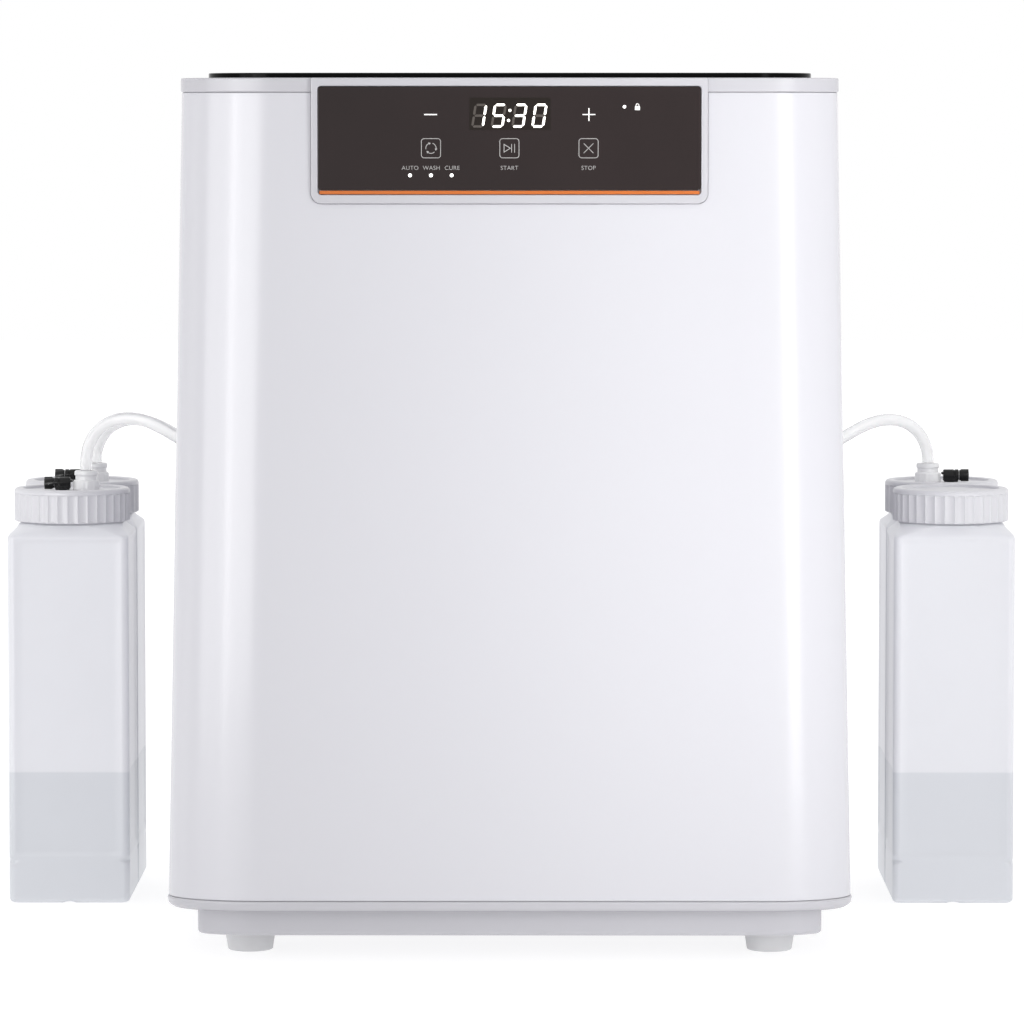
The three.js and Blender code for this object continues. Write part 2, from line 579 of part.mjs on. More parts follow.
function addDrive() {
  const { discRadius, hubRadius, bottom, discHeight, bladeHeight, blades } = IMPELLER;
  const discTop = bottom + discHeight;
  let impeller = joined(
    post(0, 0, bottom, discTop, discRadius, discRadius, 36),
    post(0, 0, bottom, discTop + bladeHeight, hubRadius),
  );
  for (let i = 0; i < blades; i++) {
    const blade = block(hubRadius - 3, discRadius - 3, -1.5, 1.5, discTop - 1, discTop + bladeHeight - 2);
    impeller = impeller.add(blade.rotate([0, 0, 360 * i / blades]));
  }
  const pinHole = TANK_PIN.radius + GAP;
  impeller = impeller.subtract(post(0, 0, bottom - 1, bottom + TANK_PIN.height + 1, pinHole, pinHole, 16));
  const impellerMesh = addPiece('impeller', geometryOf(impeller), 'whitePlastic');
  impellerMesh.position.y = TANK.y;

  const { radius, bottom: discBottom, height, shaftRadius: shaft, shaftBottom } = MAGNET_DISC;
  const magnets = joined(
    post(0, 0, discBottom, discBottom + height, radius, radius, 36),
    post(0, 0, shaftBottom, discBottom + 1, shaft, shaft, 16),
  );
  const slots = [];
  for (let i = 0; i < 4; i++) {
    const angle = (i + 0.5) * Math.PI / 2;
    const reach = radius * 0.65;
    slots.push(post(
      reach * Math.cos(angle), reach * Math.sin(angle), discBottom + 5, discBottom + height + 1, 8, 8, 16,
    ));
  }
  const discMesh = addPiece('drive_magnet_disc', geometryOf(cut(magnets, ...slots)), 'steel');
  discMesh.position.y = TANK.y;

  const motor = cut(
    joined(
      post(0, 0, MOTOR.bottom, MOTOR.top - 3, MOTOR.radius, MOTOR.radius, 28),
      post(0, 0, MOTOR.bottom + 4, MOTOR.top, MOTOR.radius - 12, MOTOR.radius - 12, 20),
    ),
    post(0, 0, shaftBottom - 2, MOTOR.top + 1, shaft + GAP, shaft + GAP, 16),
  );
  const motorMesh = addPiece('drive_motor', geometryOf(motor), 'steel');
  motorMesh.position.y = TANK.y;

  const { halfX, halfY, plateBottom, plateTop, leg, hole } = BRACKET;
  const parts = [block(-halfX, halfX, -halfY, halfY, plateBottom, plateTop)];
  for (const x of [-halfX, halfX - leg]) {
    for (const y of [-halfY, halfY - leg]) {
      parts.push(block(x, x + leg, y, y + leg, PLINTH.bottom + PLINTH.floor + GAP, plateBottom + 1));
    }
  }
  const bracket = joined(...parts).subtract(post(0, 0, plateBottom - 1, plateTop + 1, hole, hole, 20));
  const bracketMesh = addPiece('motor_bracket', geometryOf(bracket), 'steel');
  bracketMesh.position.y = TANK.y;
}

function addBasket() {
  const { halfX, halfY, corner, wall, bottom, top, leg, legInset } = BASKET;
  const tub = roundedBlock(halfX, -halfY, halfY, corner, bottom, top);
  const rim = roundedBlock(halfX + 2, -halfY - 2, halfY + 2, corner + 2, top - 8, top);
  const hollow = roundedBlock(
    halfX - wall, -halfY + wall, halfY - wall, corner - wall, bottom + wall, top + 1,
  );
  const parts = [tub, rim];
  const tools = [hollow];
  const slotBottom = bottom + BASKET_SLOTS.above;
  const slotTop = top - BASKET_SLOTS.below;
  for (let i = 0; i < BASKET_SLOTS.count; i++) {
    const along = (i - (BASKET_SLOTS.count - 1) / 2) * BASKET_SLOTS.pitch;
    const start = along - BASKET_SLOTS.half;
    const end = along + BASKET_SLOTS.half;
    tools.push(block(start, end, -REACH, REACH, slotBottom, slotTop));
    tools.push(block(-REACH, REACH, start, end, slotBottom, slotTop));
  }
  const { pitch, half } = BASKET_FLOOR;
  for (const x of [-pitch, 0, pitch]) {
    for (const y of [-pitch, 0, pitch]) {
      tools.push(block(x - half, x + half, y - half, y + half, bottom - 1, bottom + wall + 1));
    }
  }
  const extras = [];
  for (const x of [-halfX + legInset, halfX - legInset - leg]) {
    for (const y of [-halfY + legInset, halfY - legInset - leg]) {
      extras.push(block(x, x + leg, y, y + leg, TANK.bottom + TANK.floor + GAP, bottom + 1));
    }
  }
  const { pivotZ, armX, reach, rod, gripRadius, gripLength, earHalf } = HANDLE;
  for (const side of [-1, 1]) {
    const outer = side * (halfX + 1.5);
    const inner = side * (halfX - 1);
    const ear = joined(
      block(Math.min(outer, inner), Math.max(outer, inner), -earHalf, earHalf, top - 6, pivotZ),
      bar('x', [(outer + inner) / 2, 0, pivotZ], Math.abs(outer - inner), earHalf),
    );
    const bore = bar('x', [side * halfX, 0, pivotZ], 20, rod + GAP, 16);
    extras.push(ear.subtract(bore));
  }
  const basket = joined(cut(joined(...parts), ...tools), ...extras);
  const basketMesh = addPiece('basket', geometryOf(basket), 'steel');
  basketMesh.position.y = TANK.y;

  const handleParts = [];
  for (const side of [-1, 1]) {
    handleParts.push(bar('y', [side * armX, reach / 2, pivotZ], reach, rod, 12));
    handleParts.push(bar('x', [side * (armX + 3), 0, pivotZ], 10, rod, 12));
    handleParts.push(bar('x', [side * armX, reach, pivotZ], 2 * rod, rod, 12));
  }
  handleParts.push(bar('x', [0, reach, pivotZ], 2 * armX, rod, 12));
  handleParts.push(bar('x', [0, reach, pivotZ], gripLength, gripRadius, 16));
  const handleMesh = addPiece('basket_handle', geometryOf(joined(...handleParts)), 'whitePlastic');
  handleMesh.position.y = TANK.y;
}

// ---- Electrical parts and pumps in the bay below the tank ----
function addBay() {
  const floor = PLINTH.bottom + PLINTH.floor + GAP;
  const { halfX, front, rear, height, step, stepHeight, edge } = SUPPLY;
  const supply = cut(
    block(-halfX, halfX, front, rear, floor, floor + height),
    block(-halfX + edge, halfX - edge, front - 1, front + step, floor + stepHeight, floor + height + 1),
  );
  addPiece('power_supply', geometryOf(supply), 'steel');

  for (const side of [-1, 1]) {
    const x = side * PUMP.x;
    const across = (half, y0, y1, z0, z1) => block(x - half, x + half, y0, y1, floor + z0, floor + z1);
    const spoutBottom = floor + PUMP.headHeight - 6;
    const spoutTop = floor + PUMP.pipeHeight;
    const spout = (offset) => (
      post(x + offset, PUMP.pipeY, spoutBottom, spoutTop, PUMP.pipeRadius, PUMP.pipeRadius, 14)
    );
    const pump = joined(
      across(PUMP.plateHalfX, PUMP.front, PUMP.rear, 0, PUMP.plate),
      bar('y', [x, PUMP.motorY, floor + PUMP.motorZ], PUMP.motorLength, PUMP.motorRadius),
      across(PUMP.headHalfX, PUMP.headFront, PUMP.headRear, PUMP.plate - 1, PUMP.headHeight),
      across(PUMP.saddleHalfX, PUMP.saddleFront, PUMP.saddleRear, PUMP.plate - 1, PUMP.saddleHeight),
      spout(-PUMP.pipeX),
      spout(PUMP.pipeX),
    );
    addPiece(side < 0 ? 'pump_left' : 'pump_right', geometryOf(pump), 'blackPlastic');
  }
}

// The inner face of the rear cover at a height.
const rearInner = (z) => casingOutline(z, WALL + 3)[CORNER_STEPS].y;

function addFan() {
  const back = rearInner(FAN.z + FAN.half) - 1;
  const front = back - FAN.depth;
  const frame = cut(
    block(FAN.x - FAN.half, FAN.x + FAN.half, front, back, FAN.z - FAN.half, FAN.z + FAN.half),
    bar('y', [FAN.x, (front + back) / 2, FAN.z], FAN.depth + 2, FAN.holeRadius, 32),
  );
  const spider = [];
  for (let i = 0; i < 2; i++) {
    spider.push(block(-FAN.holeRadius - 1, FAN.holeRadius + 1, 0, 2.5, -2, 2).rotate([0, 45 + 90 * i, 0]));
  }
  const hub = bar('y', [0, 1.25, 0], 2.5, FAN.hubRadius);
  const axle = bar('y', [0, 6, 0], 10, 2, 12);
  const core = joined(hub, axle, ...spider).translate([FAN.x, front, FAN.z]);
  addPiece('fan_frame', geometryOf(joined(frame, core)), 'blackPlastic');

  const rotorFront = front + 4;
  let rotor = bar('y', [0, 9, 0], 16, FAN.hubRadius, 28);
  for (let i = 0; i < FAN.blades; i++) {
    const blade = block(FAN.hubRadius - 2, FAN.bladeRadius, -0.9, 0.9, -7, 7)
      .rotate([38, 0, 0])
      .translate([0, 9, 0])
      .rotate([0, 360 * i / FAN.blades, 0]);
    rotor = rotor.add(blade);
  }
  rotor = rotor.subtract(bar('y', [0, 4, 0], 11, 2 + GAP, 12));
  addPiece('fan_rotor', geometryOf(rotor.translate([FAN.x, rotorFront, FAN.z])), 'blackPlastic');
}

function addPower() {
  const outer = casingOutline(INLET.z, 0)[CORNER_STEPS].y;
  const flangeZ = INLET.flangeZ;
  const socketFloor = outer - INLET.depth + 10;
  const inlet = cut(
    joined(
      block(-INLET.flangeX, INLET.flangeX, outer + GAP, outer + INLET.proud, -flangeZ, flangeZ),
      block(-INLET.halfX, INLET.halfX, outer - INLET.depth, outer + 1, -INLET.halfZ, INLET.halfZ),
    ),
    block(
      -INLET.socketX, INLET.socketX, socketFloor, outer + INLET.proud + 1,
      -INLET.socketZ, INLET.socketZ,
    ),
  );
  const pins = [-6, 0, 6].map((x) => block(x - 1, x + 1, socketFloor - 2, outer - 2, -3, 3));
  const inletBody = joined(inlet, ...pins).translate([INLET.x, 0, INLET.z]);
  addPiece('power_inlet', geometryOf(inletBody), 'blackPlastic');

  const { halfX, halfZ } = SWITCH;
  const outline = [
    new THREE.Vector2(0, -halfZ), new THREE.Vector2(3.5, -halfZ), new THREE.Vector2(1, 0),
    new THREE.Vector2(0, halfZ), new THREE.Vector2(-8, 3), new THREE.Vector2(-8, -3),
  ];
  const side = new THREE.Shape(outline);
  const rocker = new THREE.ExtrudeGeometry(side, { depth: 2 * halfX, bevelEnabled: false });
  const yAxis = new THREE.Vector3(0, 1, 0);
  const zAxis = new THREE.Vector3(0, 0, 1);
  const xAxis = new THREE.Vector3(1, 0, 0);
  rocker.applyMatrix4(new THREE.Matrix4().makeBasis(yAxis, zAxis, xAxis));
  rocker.translate(SWITCH.x - halfX, outer - SWITCH.sunk, SWITCH.z);
  addPiece('power_switch', rocker, 'blackPlastic');
}

// ---- Bottles, caps and hoses ----
function bottleSolid() {
  const { half, corner, wall, shoulder, neckBase, neckTop } = BOTTLE;
  const steps = 4;
  const square = (inset, round) => roundedOutline(half - inset, half - inset, round, round, steps);
  const circle = (radius) => roundedOutline(radius, radius, radius, radius, steps);
  const outside = loft([
    { outline: square(2, corner - 2), z: 0 },
    { outline: square(0, corner), z: 2 },
    { outline: square(0, corner), z: shoulder },
    { outline: square(2.2, corner + 3), z: shoulder + 4 },
    { outline: circle(NECK_RADIUS + 0.5), z: neckBase },
    { outline: circle(NECK_RADIUS), z: neckTop },
  ]);
  const inside = loft([
    { outline: square(2 + wall, corner - 2), z: wall },
    { outline: square(wall, corner - 1), z: wall + 2 },
    { outline: square(wall, corner - 1), z: shoulder - 1 },
    { outline: square(wall + 2.2, corner + 2), z: shoulder + 2.6 },
    { outline: circle(NECK_RADIUS - 3), z: neckBase - 1.5 },
    { outline: circle(NECK_RADIUS - 3), z: neckTop + 1 },
  ]);
  return outside.subtract(inside);
}

// A screw cap with ribs round its side.
function capSolid(holes) {
  const outline = [];
  for (let rib = 0; rib < CAP.ribs; rib++) {
    for (const [part, depth] of [[0, 0], [0.5, CAP.ribDepth]]) {
      const angle = 2 * Math.PI * (rib + part) / CAP.ribs;
      const radius = CAP.radius - depth;
      outline.push(new THREE.Vector2(radius * Math.cos(angle), radius * Math.sin(angle)));
    }
  }
  const topOutline = outline.map((point) => point.clone().multiplyScalar(0.975));
  const outside = loft([
    { outline, z: CAP.bottom },
    { outline, z: CAP.top - 1 },
    { outline: topOutline, z: CAP.top },
  ]);
  const bore = NECK_RADIUS + 0.6;
  const tools = [
    post(0, 0, CAP.bottom - 1, CAP.top - CAP.plate, bore, bore, 32),
    post(0, 0, CAP.top - CAP.dish, CAP.top + 1, CAP.radius - CAP.rim, CAP.radius - CAP.rim, 32),
  ];
  return cut(outside, ...tools, ...holes);
}

// A hose fitting with its dip tube, which hangs into the bottle.
function fittingSolid() {
  const { baseRadius, stageRadius, collarRadius, top, bore } = FITTING;
  const stage = SEAT + 6;
  const collar = top - 2;
  const body = joined(
    post(0, 0, SEAT, stage, baseRadius, baseRadius, 12),
    post(0, 0, stage - 1, collar + 0.5, stageRadius, stageRadius, 20),
    post(0, 0, collar, top, collarRadius, collarRadius, 20),
    post(0, 0, DIP_TUBE.bottom, SEAT + 1, DIP_TUBE.radius, DIP_TUBE.radius, 12),
  );
  return body.subtract(post(0, 0, top - 4, top + 1, bore, bore, 12));
}

// A block between two distances from the bottle's middle, on one side of the object.
function sideBlock(side, near, far, halfY, z0, z1) {
  return block(Math.min(side * near, side * far), Math.max(side * near, side * far), -halfY, halfY, z0, z1);
}

// The vent valve lies along X, on a short neck through the cap. Its knob is the outer end.
function valveSolid(side) {
  const { outboard, z, radius, body, neckRadius } = VALVE;
  const middle = side * (outboard + body / 2);
  const prongs = [-2, 2].map((y) => (
    sideBlock(side, outboard - 1, outboard + 2, 0.7, z + 0.6, z + 2).translate([0, y, 0])
  ));
  return joined(
    bar('x', [middle, 0, z], body, radius, 16),
    sideBlock(side, outboard + 0.6, outboard + body - 0.6, radius - GAP, SEAT, z),
    post(middle, 0, CAP.top - CAP.plate - 2, SEAT + 1, neckRadius, neckRadius, 12),
    ...prongs,
  );
}

function knobSolid(side) {
  const { outboard, z, body, knob, knobRadius, wing } = VALVE;
  const start = outboard + body + GAP;
  return joined(
    bar('x', [side * (start + knob / 2), 0, z], knob, knobRadius, 16),
    sideBlock(side, start + 1, start + knob, 0.8, z - wing, z + wing),
  );
}

function addBottles() {
  const tubeHole = DIP_TUBE.radius + GAP;
  const neckHole = VALVE.neckRadius + GAP;
  for (const [sideName, side] of [['left', -1], ['right', 1]]) {
    for (const [rowName, y] of Object.entries(BOTTLE_Y)) {
      const place = `${sideName}_${rowName}`;
      const hasHose = place in HOSE_ROUTES;
      const fittingX = -side * FITTING.inboard;
      const valveX = side * (VALVE.outboard + VALVE.body / 2);
      const holes = hasHose ? [
        post(fittingX, 0, CAP.bottom, CAP.top + 1, tubeHole, tubeHole, 12),
        post(valveX, 0, CAP.bottom, CAP.top + 1, neckHole, neckHole, 12),
      ] : [];
      const pieces = [
        addPiece(`bottle_${place}`, geometryOf(bottleSolid()), 'bottle'),
        addPiece(`cap_${place}`, geometryOf(capSolid(holes)), 'cap'),
      ];
      if (hasHose) {
        const fitting = fittingSolid().translate([fittingX, 0, 0]);
        pieces.push(addPiece(`hose_fitting_${place}`, geometryOf(fitting), 'whitePlastic'));
        pieces.push(addPiece(`vent_valve_${place}`, geometryOf(valveSolid(side)), 'blackPlastic'));
        pieces.push(addPiece(`vent_knob_${place}`, geometryOf(knobSolid(side)), 'blackPlastic'));
      }
      for (const piece of pieces) piece.position.set(side * BOTTLE.x, y, 0);
    }
  }
}

function addHoses() {
  for (const [place, route] of Object.entries(HOSE_ROUTES)) {
    const points = route.map((point) => new THREE.Vector3(...point));
    const curve = new THREE.CatmullRomCurve3(points, false, 'centripetal');
    const section = new THREE.Shape();
    for (let i = 0; i < HOSE.sides; i++) {
      const angle = 2 * Math.PI * i / HOSE.sides;
      const x = HOSE.radius * Math.cos(angle);
      const y = HOSE.radius * Math.sin(angle);
      if (i === 0) section.moveTo(x, y);
      else section.lineTo(x, y);
    }
    section.closePath();
    const tube = new THREE.ExtrudeGeometry(section, { steps: HOSE.steps, extrudePath: curve });
    addPiece(`hose_${place}`, tube, 'hose');
  }
}

function addPorts() {
  for (const { place, side, end, direction, wall } of portPlaces()) {
    const mouth = end.clone().addScaledVector(direction, GAP);
    const inside = wall.clone().addScaledVector(direction, PORT.inside);
    const wallX = side * (casingHalfX(wall.z - PORT.flangeRadius) + GAP + PORT.flange / 2);
    const port = joined(
      barBetween(mouth, inside, PORT.sleeveRadius),
      bar('x', [wallX, wall.y, wall.z], PORT.flange, PORT.flangeRadius, 28),
    );
    const boreStart = mouth.clone().addScaledVector(direction, -2);
    const boreEnd = inside.clone().addScaledVector(direction, 2);
    const bore = barBetween(boreStart, boreEnd, PORT.boreRadius, 12);
    addPiece(`hose_port_${place}`, geometryOf(port.subtract(bore)), 'whitePlastic');
  }
}

addFeet();
addBase();
addShell();
addRearCover();
addTopRim();
addLid();
addPanel();
addTank();
addDrive();
addBasket();
addBay();
addFan();
addPower();
addBottles();
addHoses();
addPorts();

export default station;
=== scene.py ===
"""A resin wash station: white casing, black lid, touch panel, four liquid bottles and three hoses."""
import json
import math
import bmesh
import bpy
from mathutils import Matrix, Vector


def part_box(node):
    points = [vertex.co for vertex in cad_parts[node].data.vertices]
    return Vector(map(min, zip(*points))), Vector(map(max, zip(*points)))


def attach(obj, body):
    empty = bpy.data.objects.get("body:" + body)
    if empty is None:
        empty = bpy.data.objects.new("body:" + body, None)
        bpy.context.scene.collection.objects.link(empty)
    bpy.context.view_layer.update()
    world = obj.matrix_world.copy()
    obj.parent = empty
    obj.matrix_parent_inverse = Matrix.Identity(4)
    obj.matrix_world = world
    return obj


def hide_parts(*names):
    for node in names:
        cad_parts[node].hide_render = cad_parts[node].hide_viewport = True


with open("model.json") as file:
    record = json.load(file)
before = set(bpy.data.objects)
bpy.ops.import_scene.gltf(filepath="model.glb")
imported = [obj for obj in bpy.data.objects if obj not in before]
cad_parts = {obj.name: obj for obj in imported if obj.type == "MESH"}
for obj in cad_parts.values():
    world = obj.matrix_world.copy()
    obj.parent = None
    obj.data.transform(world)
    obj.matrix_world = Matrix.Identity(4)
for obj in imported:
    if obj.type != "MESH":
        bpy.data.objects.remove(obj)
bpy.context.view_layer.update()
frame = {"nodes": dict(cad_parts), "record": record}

# ---- Sizes in millimetres, in the row frame ----
MM = 0.001
GAP = 0.3
WALL = 3.0
CORNER = (54.0, 31.0)          # the casing's soft corners, along X and along Y
CORNER_STEPS = 24
RIM_PROUD = 0.6
BASE_PROUD = 0.8
PLINTH_INSET = 17.0
LID_CORNER = 38.0
BEZEL_CORNER = 6.0
GLASS_HALF_X = 111.3
GLASS_BOTTOM = 449.2
GLASS_TOP = 512.2
PANEL_WINDOW = (103.0, 456.0, 504.0)      # half width, bottom and top
PRINT_LINE = 0.36              # width of the thin printed lines
LABEL_SIZE = 3.4
DIGIT_SLANT = math.tan(math.radians(9))
REAR_COVER_HALF_X = 130.0
REAR_COVER_BOTTOM = 52.0
REAR_COVER_TOP = 470.0
REAR_COVER_CORNER = 6.0
REAR_LIP = 6.5                 # how far the cover's hidden lip reaches past its edge
PORT_HOLE = 9.5                # radius of the casing's hole behind each hose port
CAP_RIBS = 36
CAP_DISH = 1.8                 # how far the cap's top is sunk inside its rim
CAP_RADIUS = 36.5
NECK_RADIUS = 32.0
BOTTLE_STEPS = 10
BOTTLE_CORNER = 4.0
BOTTLE_WALL = 2.0
PANEL_SLOPE = 5.3              # width of the slope round each sunk panel of a bottle
PANEL_DEPTH = 1.0
FINE_GAP = 0.12                # the thin joint round the panel bezel
LIQUID_TOP = 83.0
HOSE_DIAMETER = 7.5
VALVE_RADIUS = 3.8
SIDES_WITH_HOSE = ("left_front", "left_rear", "right_rear")
PLACES = ("left_front", "left_rear", "right_front", "right_rear")
HOSE_ROUTES = {
    "left_front": [
        (-269.5, 84, 271.3), (-269.5, 84, 276), (-269.1, 83.9, 281), (-267.6, 83.5, 287),
        (-265, 82.8, 292.2), (-261.4, 81.9, 296.8), (-256.9, 80.8, 300.4), (-251.8, 79.6, 302.9),
        (-246.2, 78.2, 304.3), (-240.3, 76.9, 304.5), (-234.4, 75.6, 303.8), (-228.6, 74.4, 302.1),
        (-223, 73.3, 299.7), (-217.8, 72.4, 296.9), (-212.9, 71.7, 294.1), (-207.3, 71, 290.7),
    ],
    "left_rear": [
        (-269.5, 163.4, 271.3), (-269.4, 163.3, 275), (-268.6, 162.9, 280), (-266.7, 162, 285.2),
        (-263.8, 160.6, 290), (-260, 158.8, 293.9), (-255.4, 156.7, 296.9), (-250.2, 154.4, 298.8),
        (-244.6, 152, 299.6), (-238.9, 149.7, 299.4), (-233.2, 147.6, 298.2), (-227.5, 145.7, 296.2),
        (-222.1, 144.1, 293.6), (-217, 142.8, 290.8), (-212.1, 141.7, 288), (-207.3, 140.8, 285.2),
    ],
}
HOSE_ROUTES["right_rear"] = [(-x, y, z) for x, y, z in HOSE_ROUTES["left_rear"]]


def node_box(node):
    """Lowest and highest corners of a CAD node, in millimetres."""
    low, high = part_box(node)
    return low / MM, high / MM


def halfway(low, high):
    """X, Y and Z of the point between two corners."""
    return [(a + b) / 2 for a, b in zip(low, high)]


shell_low, shell_high = node_box("outer_shell")
rim_high = node_box("top_rim")[1]
CASING_BOTTOM = (shell_high.x, shell_high.y, shell_low.z)
CASING_TOP = (rim_high.x - RIM_PROUD, rim_high.y - RIM_PROUD, shell_high.z + GAP)
pin_low, pin_high = node_box("hinge_pin_right")
HINGE_X, HINGE_Y, HINGE_Z = (pin_low + pin_high) / 2
PIN_RADIUS = (pin_high.z - pin_low.z) / 2
LUG_HALF = 9.0                 # half the width of each lid lug
bottle_low, bottle_high = node_box("bottle_right_rear")
BOTTLE_HALF = (bottle_high.x - bottle_low.x) / 2
CAP_TOP = node_box("cap_right_rear")[1].z
SEAT = CAP_TOP - CAP_DISH + GAP   # where the fittings stand on the caps


# ---- Mesh tools ----
def new_object(name, verts, faces):
    mesh = bpy.data.meshes.new(name)
    mesh.from_pydata([[c * MM for c in vert] for vert in verts], [], faces)
    mesh.validate()
    obj = bpy.data.objects.new(name, mesh)
    bpy.context.scene.collection.objects.link(obj)
    return obj


def rounded_outline(half_x, half_y, corner_x, corner_y=None, steps=CORNER_STEPS):
    """Counter-clockwise points with four quarter-ellipse corners."""
    corner_y = corner_x if corner_y is None else corner_y
    points = []
    for sign_x, sign_y, quarter in ((1, 1, 0), (-1, 1, 1), (-1, -1, 2), (1, -1, 3)):
        for step in range(steps + 1):
            angle = (quarter + step / steps) * math.pi / 2
            x = sign_x * (half_x - corner_x) + corner_x * math.cos(angle)
            y = sign_y * (half_y - corner_y) + corner_y * math.sin(angle)
            points.append((x, y))
    return points


def casing_outline(z, inset):
    share = (z - CASING_BOTTOM[2]) / (CASING_TOP[2] - CASING_BOTTOM[2])
    half_x = CASING_BOTTOM[0] + (CASING_TOP[0] - CASING_BOTTOM[0]) * share - inset
    half_y = CASING_BOTTOM[1] + (CASING_TOP[1] - CASING_BOTTOM[1]) * share - inset
    return rounded_outline(half_x, half_y, max(CORNER[0] - inset, 4), max(CORNER[1] - inset, 4))


def casing_y(z):
    """How far the casing's flat back stands from the middle at a height."""
    share = (z - CASING_BOTTOM[2]) / (CASING_TOP[2] - CASING_BOTTOM[2])
    return CASING_BOTTOM[1] + (CASING_TOP[1] - CASING_BOTTOM[1]) * share


def arc(centre, radius, start, end, steps=5):
    """Points (inset, height) round part of a circle, from one angle to another in degrees."""
    points = []
    for step in range(steps + 1):
        angle = math.radians(start + (end - start) * step / steps)
        points.append((centre[0] + radius * math.cos(angle), centre[1] + radius * math.sin(angle)))
    return points


def at_height(outline, z, x=0.0, y=0.0):
    return [(px + x, py + y, z) for px, py in outline]


def loft(name, rings, ring_shaped=False):
    """A closed mesh through rings of equal point counts. A ring-shaped one has no ends."""
    count = len(rings[0])
    verts = [point for ring in rings for point in ring]
    faces = []
    for level in range(len(rings) if ring_shaped else len(rings) - 1):
        low = level * count
        high = ((level + 1) % len(rings)) * count
        for i in range(count):
            j = (i + 1) % count
            faces.append((low + i, low + j, high + j, high + i))
    if not ring_shaped:
        faces.append(tuple(reversed(range(count))))
        faces.append(tuple(range((len(rings) - 1) * count, len(rings) * count)))
    return new_object(name, verts, faces)


def circle(radius, steps=64):
    return [(radius * math.cos(2 * math.pi * i / steps), radius * math.sin(2 * math.pi * i / steps))
            for i in range(steps)]


def lathe(name, profile, x=0.0, y=0.0, steps=64, ring_shaped=False):
    """Turns a profile of (radius, height) about an upright axis."""
    rings = [at_height(circle(radius, steps), z, x, y) for radius, z in profile]
    return loft(name, rings, ring_shaped)


def slab(name, outline, z0, z1, x=0.0, y=0.0):
    """An upright plate with this outline."""
    return loft(name, [at_height(outline, z0, x, y), at_height(outline, z1, x, y)])


def box_piece(name, x0, x1, y0, y1, z0, z1):
    outline = [(x1, y1), (x0, y1), (x0, y0), (x1, y0)]
    return loft(name, [at_height(outline, z0), at_height(outline, z1)])


def facing_front(obj):
    """Turns a flat piece drawn in XY, thick along Z, so that it stands in XZ and faces the front."""
    obj.data.transform(Matrix.Rotation(math.pi / 2, 4, "X"))
    return obj


def turned(obj, axis, degrees):
    obj.data.transform(Matrix.Rotation(math.radians(degrees), 4, axis))
    return obj


def moved(obj, x=0.0, y=0.0, z=0.0):
    obj.data.transform(Matrix.Translation(Vector((x, y, z)) * MM))
    return obj


def mirrored(obj):
    """Swaps left and right."""
    obj.data.transform(Matrix.Scale(-1, 4, (1, 0, 0)))
    obj.data.flip_normals()
    return obj


def standing(name, outline, z0, z1, x=0.0, y=0.0, z=0.0):
    """A plate turned to face the front, then moved: its z0 and z1 become depths towards the front."""
    return moved(facing_front(slab(name, outline, z0, z1)), x, y, z)


def bar_along_x(name, radius, half_length):
    profile = [(radius, -half_length), (radius, half_length)]
    return turned(lathe(name, profile, steps=40), "Y", 90)


def apply_modifiers(obj):
    graph = bpy.context.evaluated_depsgraph_get()
    mesh = bpy.data.meshes.new_from_object(obj.evaluated_get(graph), depsgraph=graph)
    obj.modifiers.clear()
    spare = obj.data
    obj.data = mesh
    bpy.data.meshes.remove(spare)


def combine(obj, tools, operation):
    for tool in tools:
        change = obj.modifiers.new("change", "BOOLEAN")
        change.object = tool
        change.operation = operation
        change.solver = "EXACT"
        apply_modifiers(obj)
        bpy.data.objects.remove(tool)
    return obj


def cut(obj, *tools):
    return combine(obj, tools, "DIFFERENCE")


def fused(obj, *others):
    return combine(obj, others, "UNION")


def gathered(obj, *others):
    """Puts separate meshes into one object without joining their surfaces."""
    shape = bmesh.new()
    for source in (obj, *others):
        shape.from_mesh(source.data)
    shape.to_mesh(obj.data)
    shape.free()
    for source in others:
        bpy.data.objects.remove(source)
    return obj


def soften(obj, width=0.0, segments=3, angle=50.0, sharp=32.0):
    """Rounds the sharp edges and shades the faces smoothly between them."""
    if width:
        edge = obj.modifiers.new("edge", "BEVEL")
        edge.width = width * MM
        edge.segments = segments
        edge.limit_method = "ANGLE"
        edge.angle_limit = math.radians(angle)
        edge.miter_outer = "MITER_ARC"
        apply_modifiers(obj)
    obj.data.shade_smooth()
    obj.data.set_sharp_from_angle(angle=math.radians(sharp))
    weight = obj.modifiers.new("weight", "WEIGHTED_NORMAL")
    weight.keep_sharp = True
    weight.weight = 80
    apply_modifiers(obj)
    return obj


def place(obj, body, slot, *nodes):
    """Gives a piece its finish and lets it ride on a body, in place of these CAD nodes."""
    obj.data.materials.clear()
    obj.data.materials.append(MATERIALS[slot])
    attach(obj, body)
    if nodes:
        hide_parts(*nodes)
    return obj


# ---- Materials ----
def new_material(name):
    material = bpy.data.materials.new(name)
    material.use_nodes = True
    tree = material.node_tree
    return material, tree, tree.nodes["Principled BSDF"]


def set_inputs(node, values):
    for name, value in values.items():
        node.inputs[name].default_value = value


def noise(tree, scale, detail=3.0, stretch=(1, 1, 1)):
    where = tree.nodes.new("ShaderNodeTexCoord")
    mapping = tree.nodes.new("ShaderNodeMapping")
    mapping.inputs["Scale"].default_value = stretch
    texture = tree.nodes.new("ShaderNodeTexNoise")
    set_inputs(texture, {"Scale": scale, "Detail": detail})
    tree.links.new(where.outputs["Object"], mapping.inputs["Vector"])
    tree.links.new(mapping.outputs["Vector"], texture.inputs["Vector"])
    return texture.outputs["Fac"]


def mapped(tree, value, low, high):
    node = tree.nodes.new("ShaderNodeMapRange")
    set_inputs(node, {"To Min": low, "To Max": high})
    tree.links.new(value, node.inputs["Value"])
    return node.outputs["Result"]


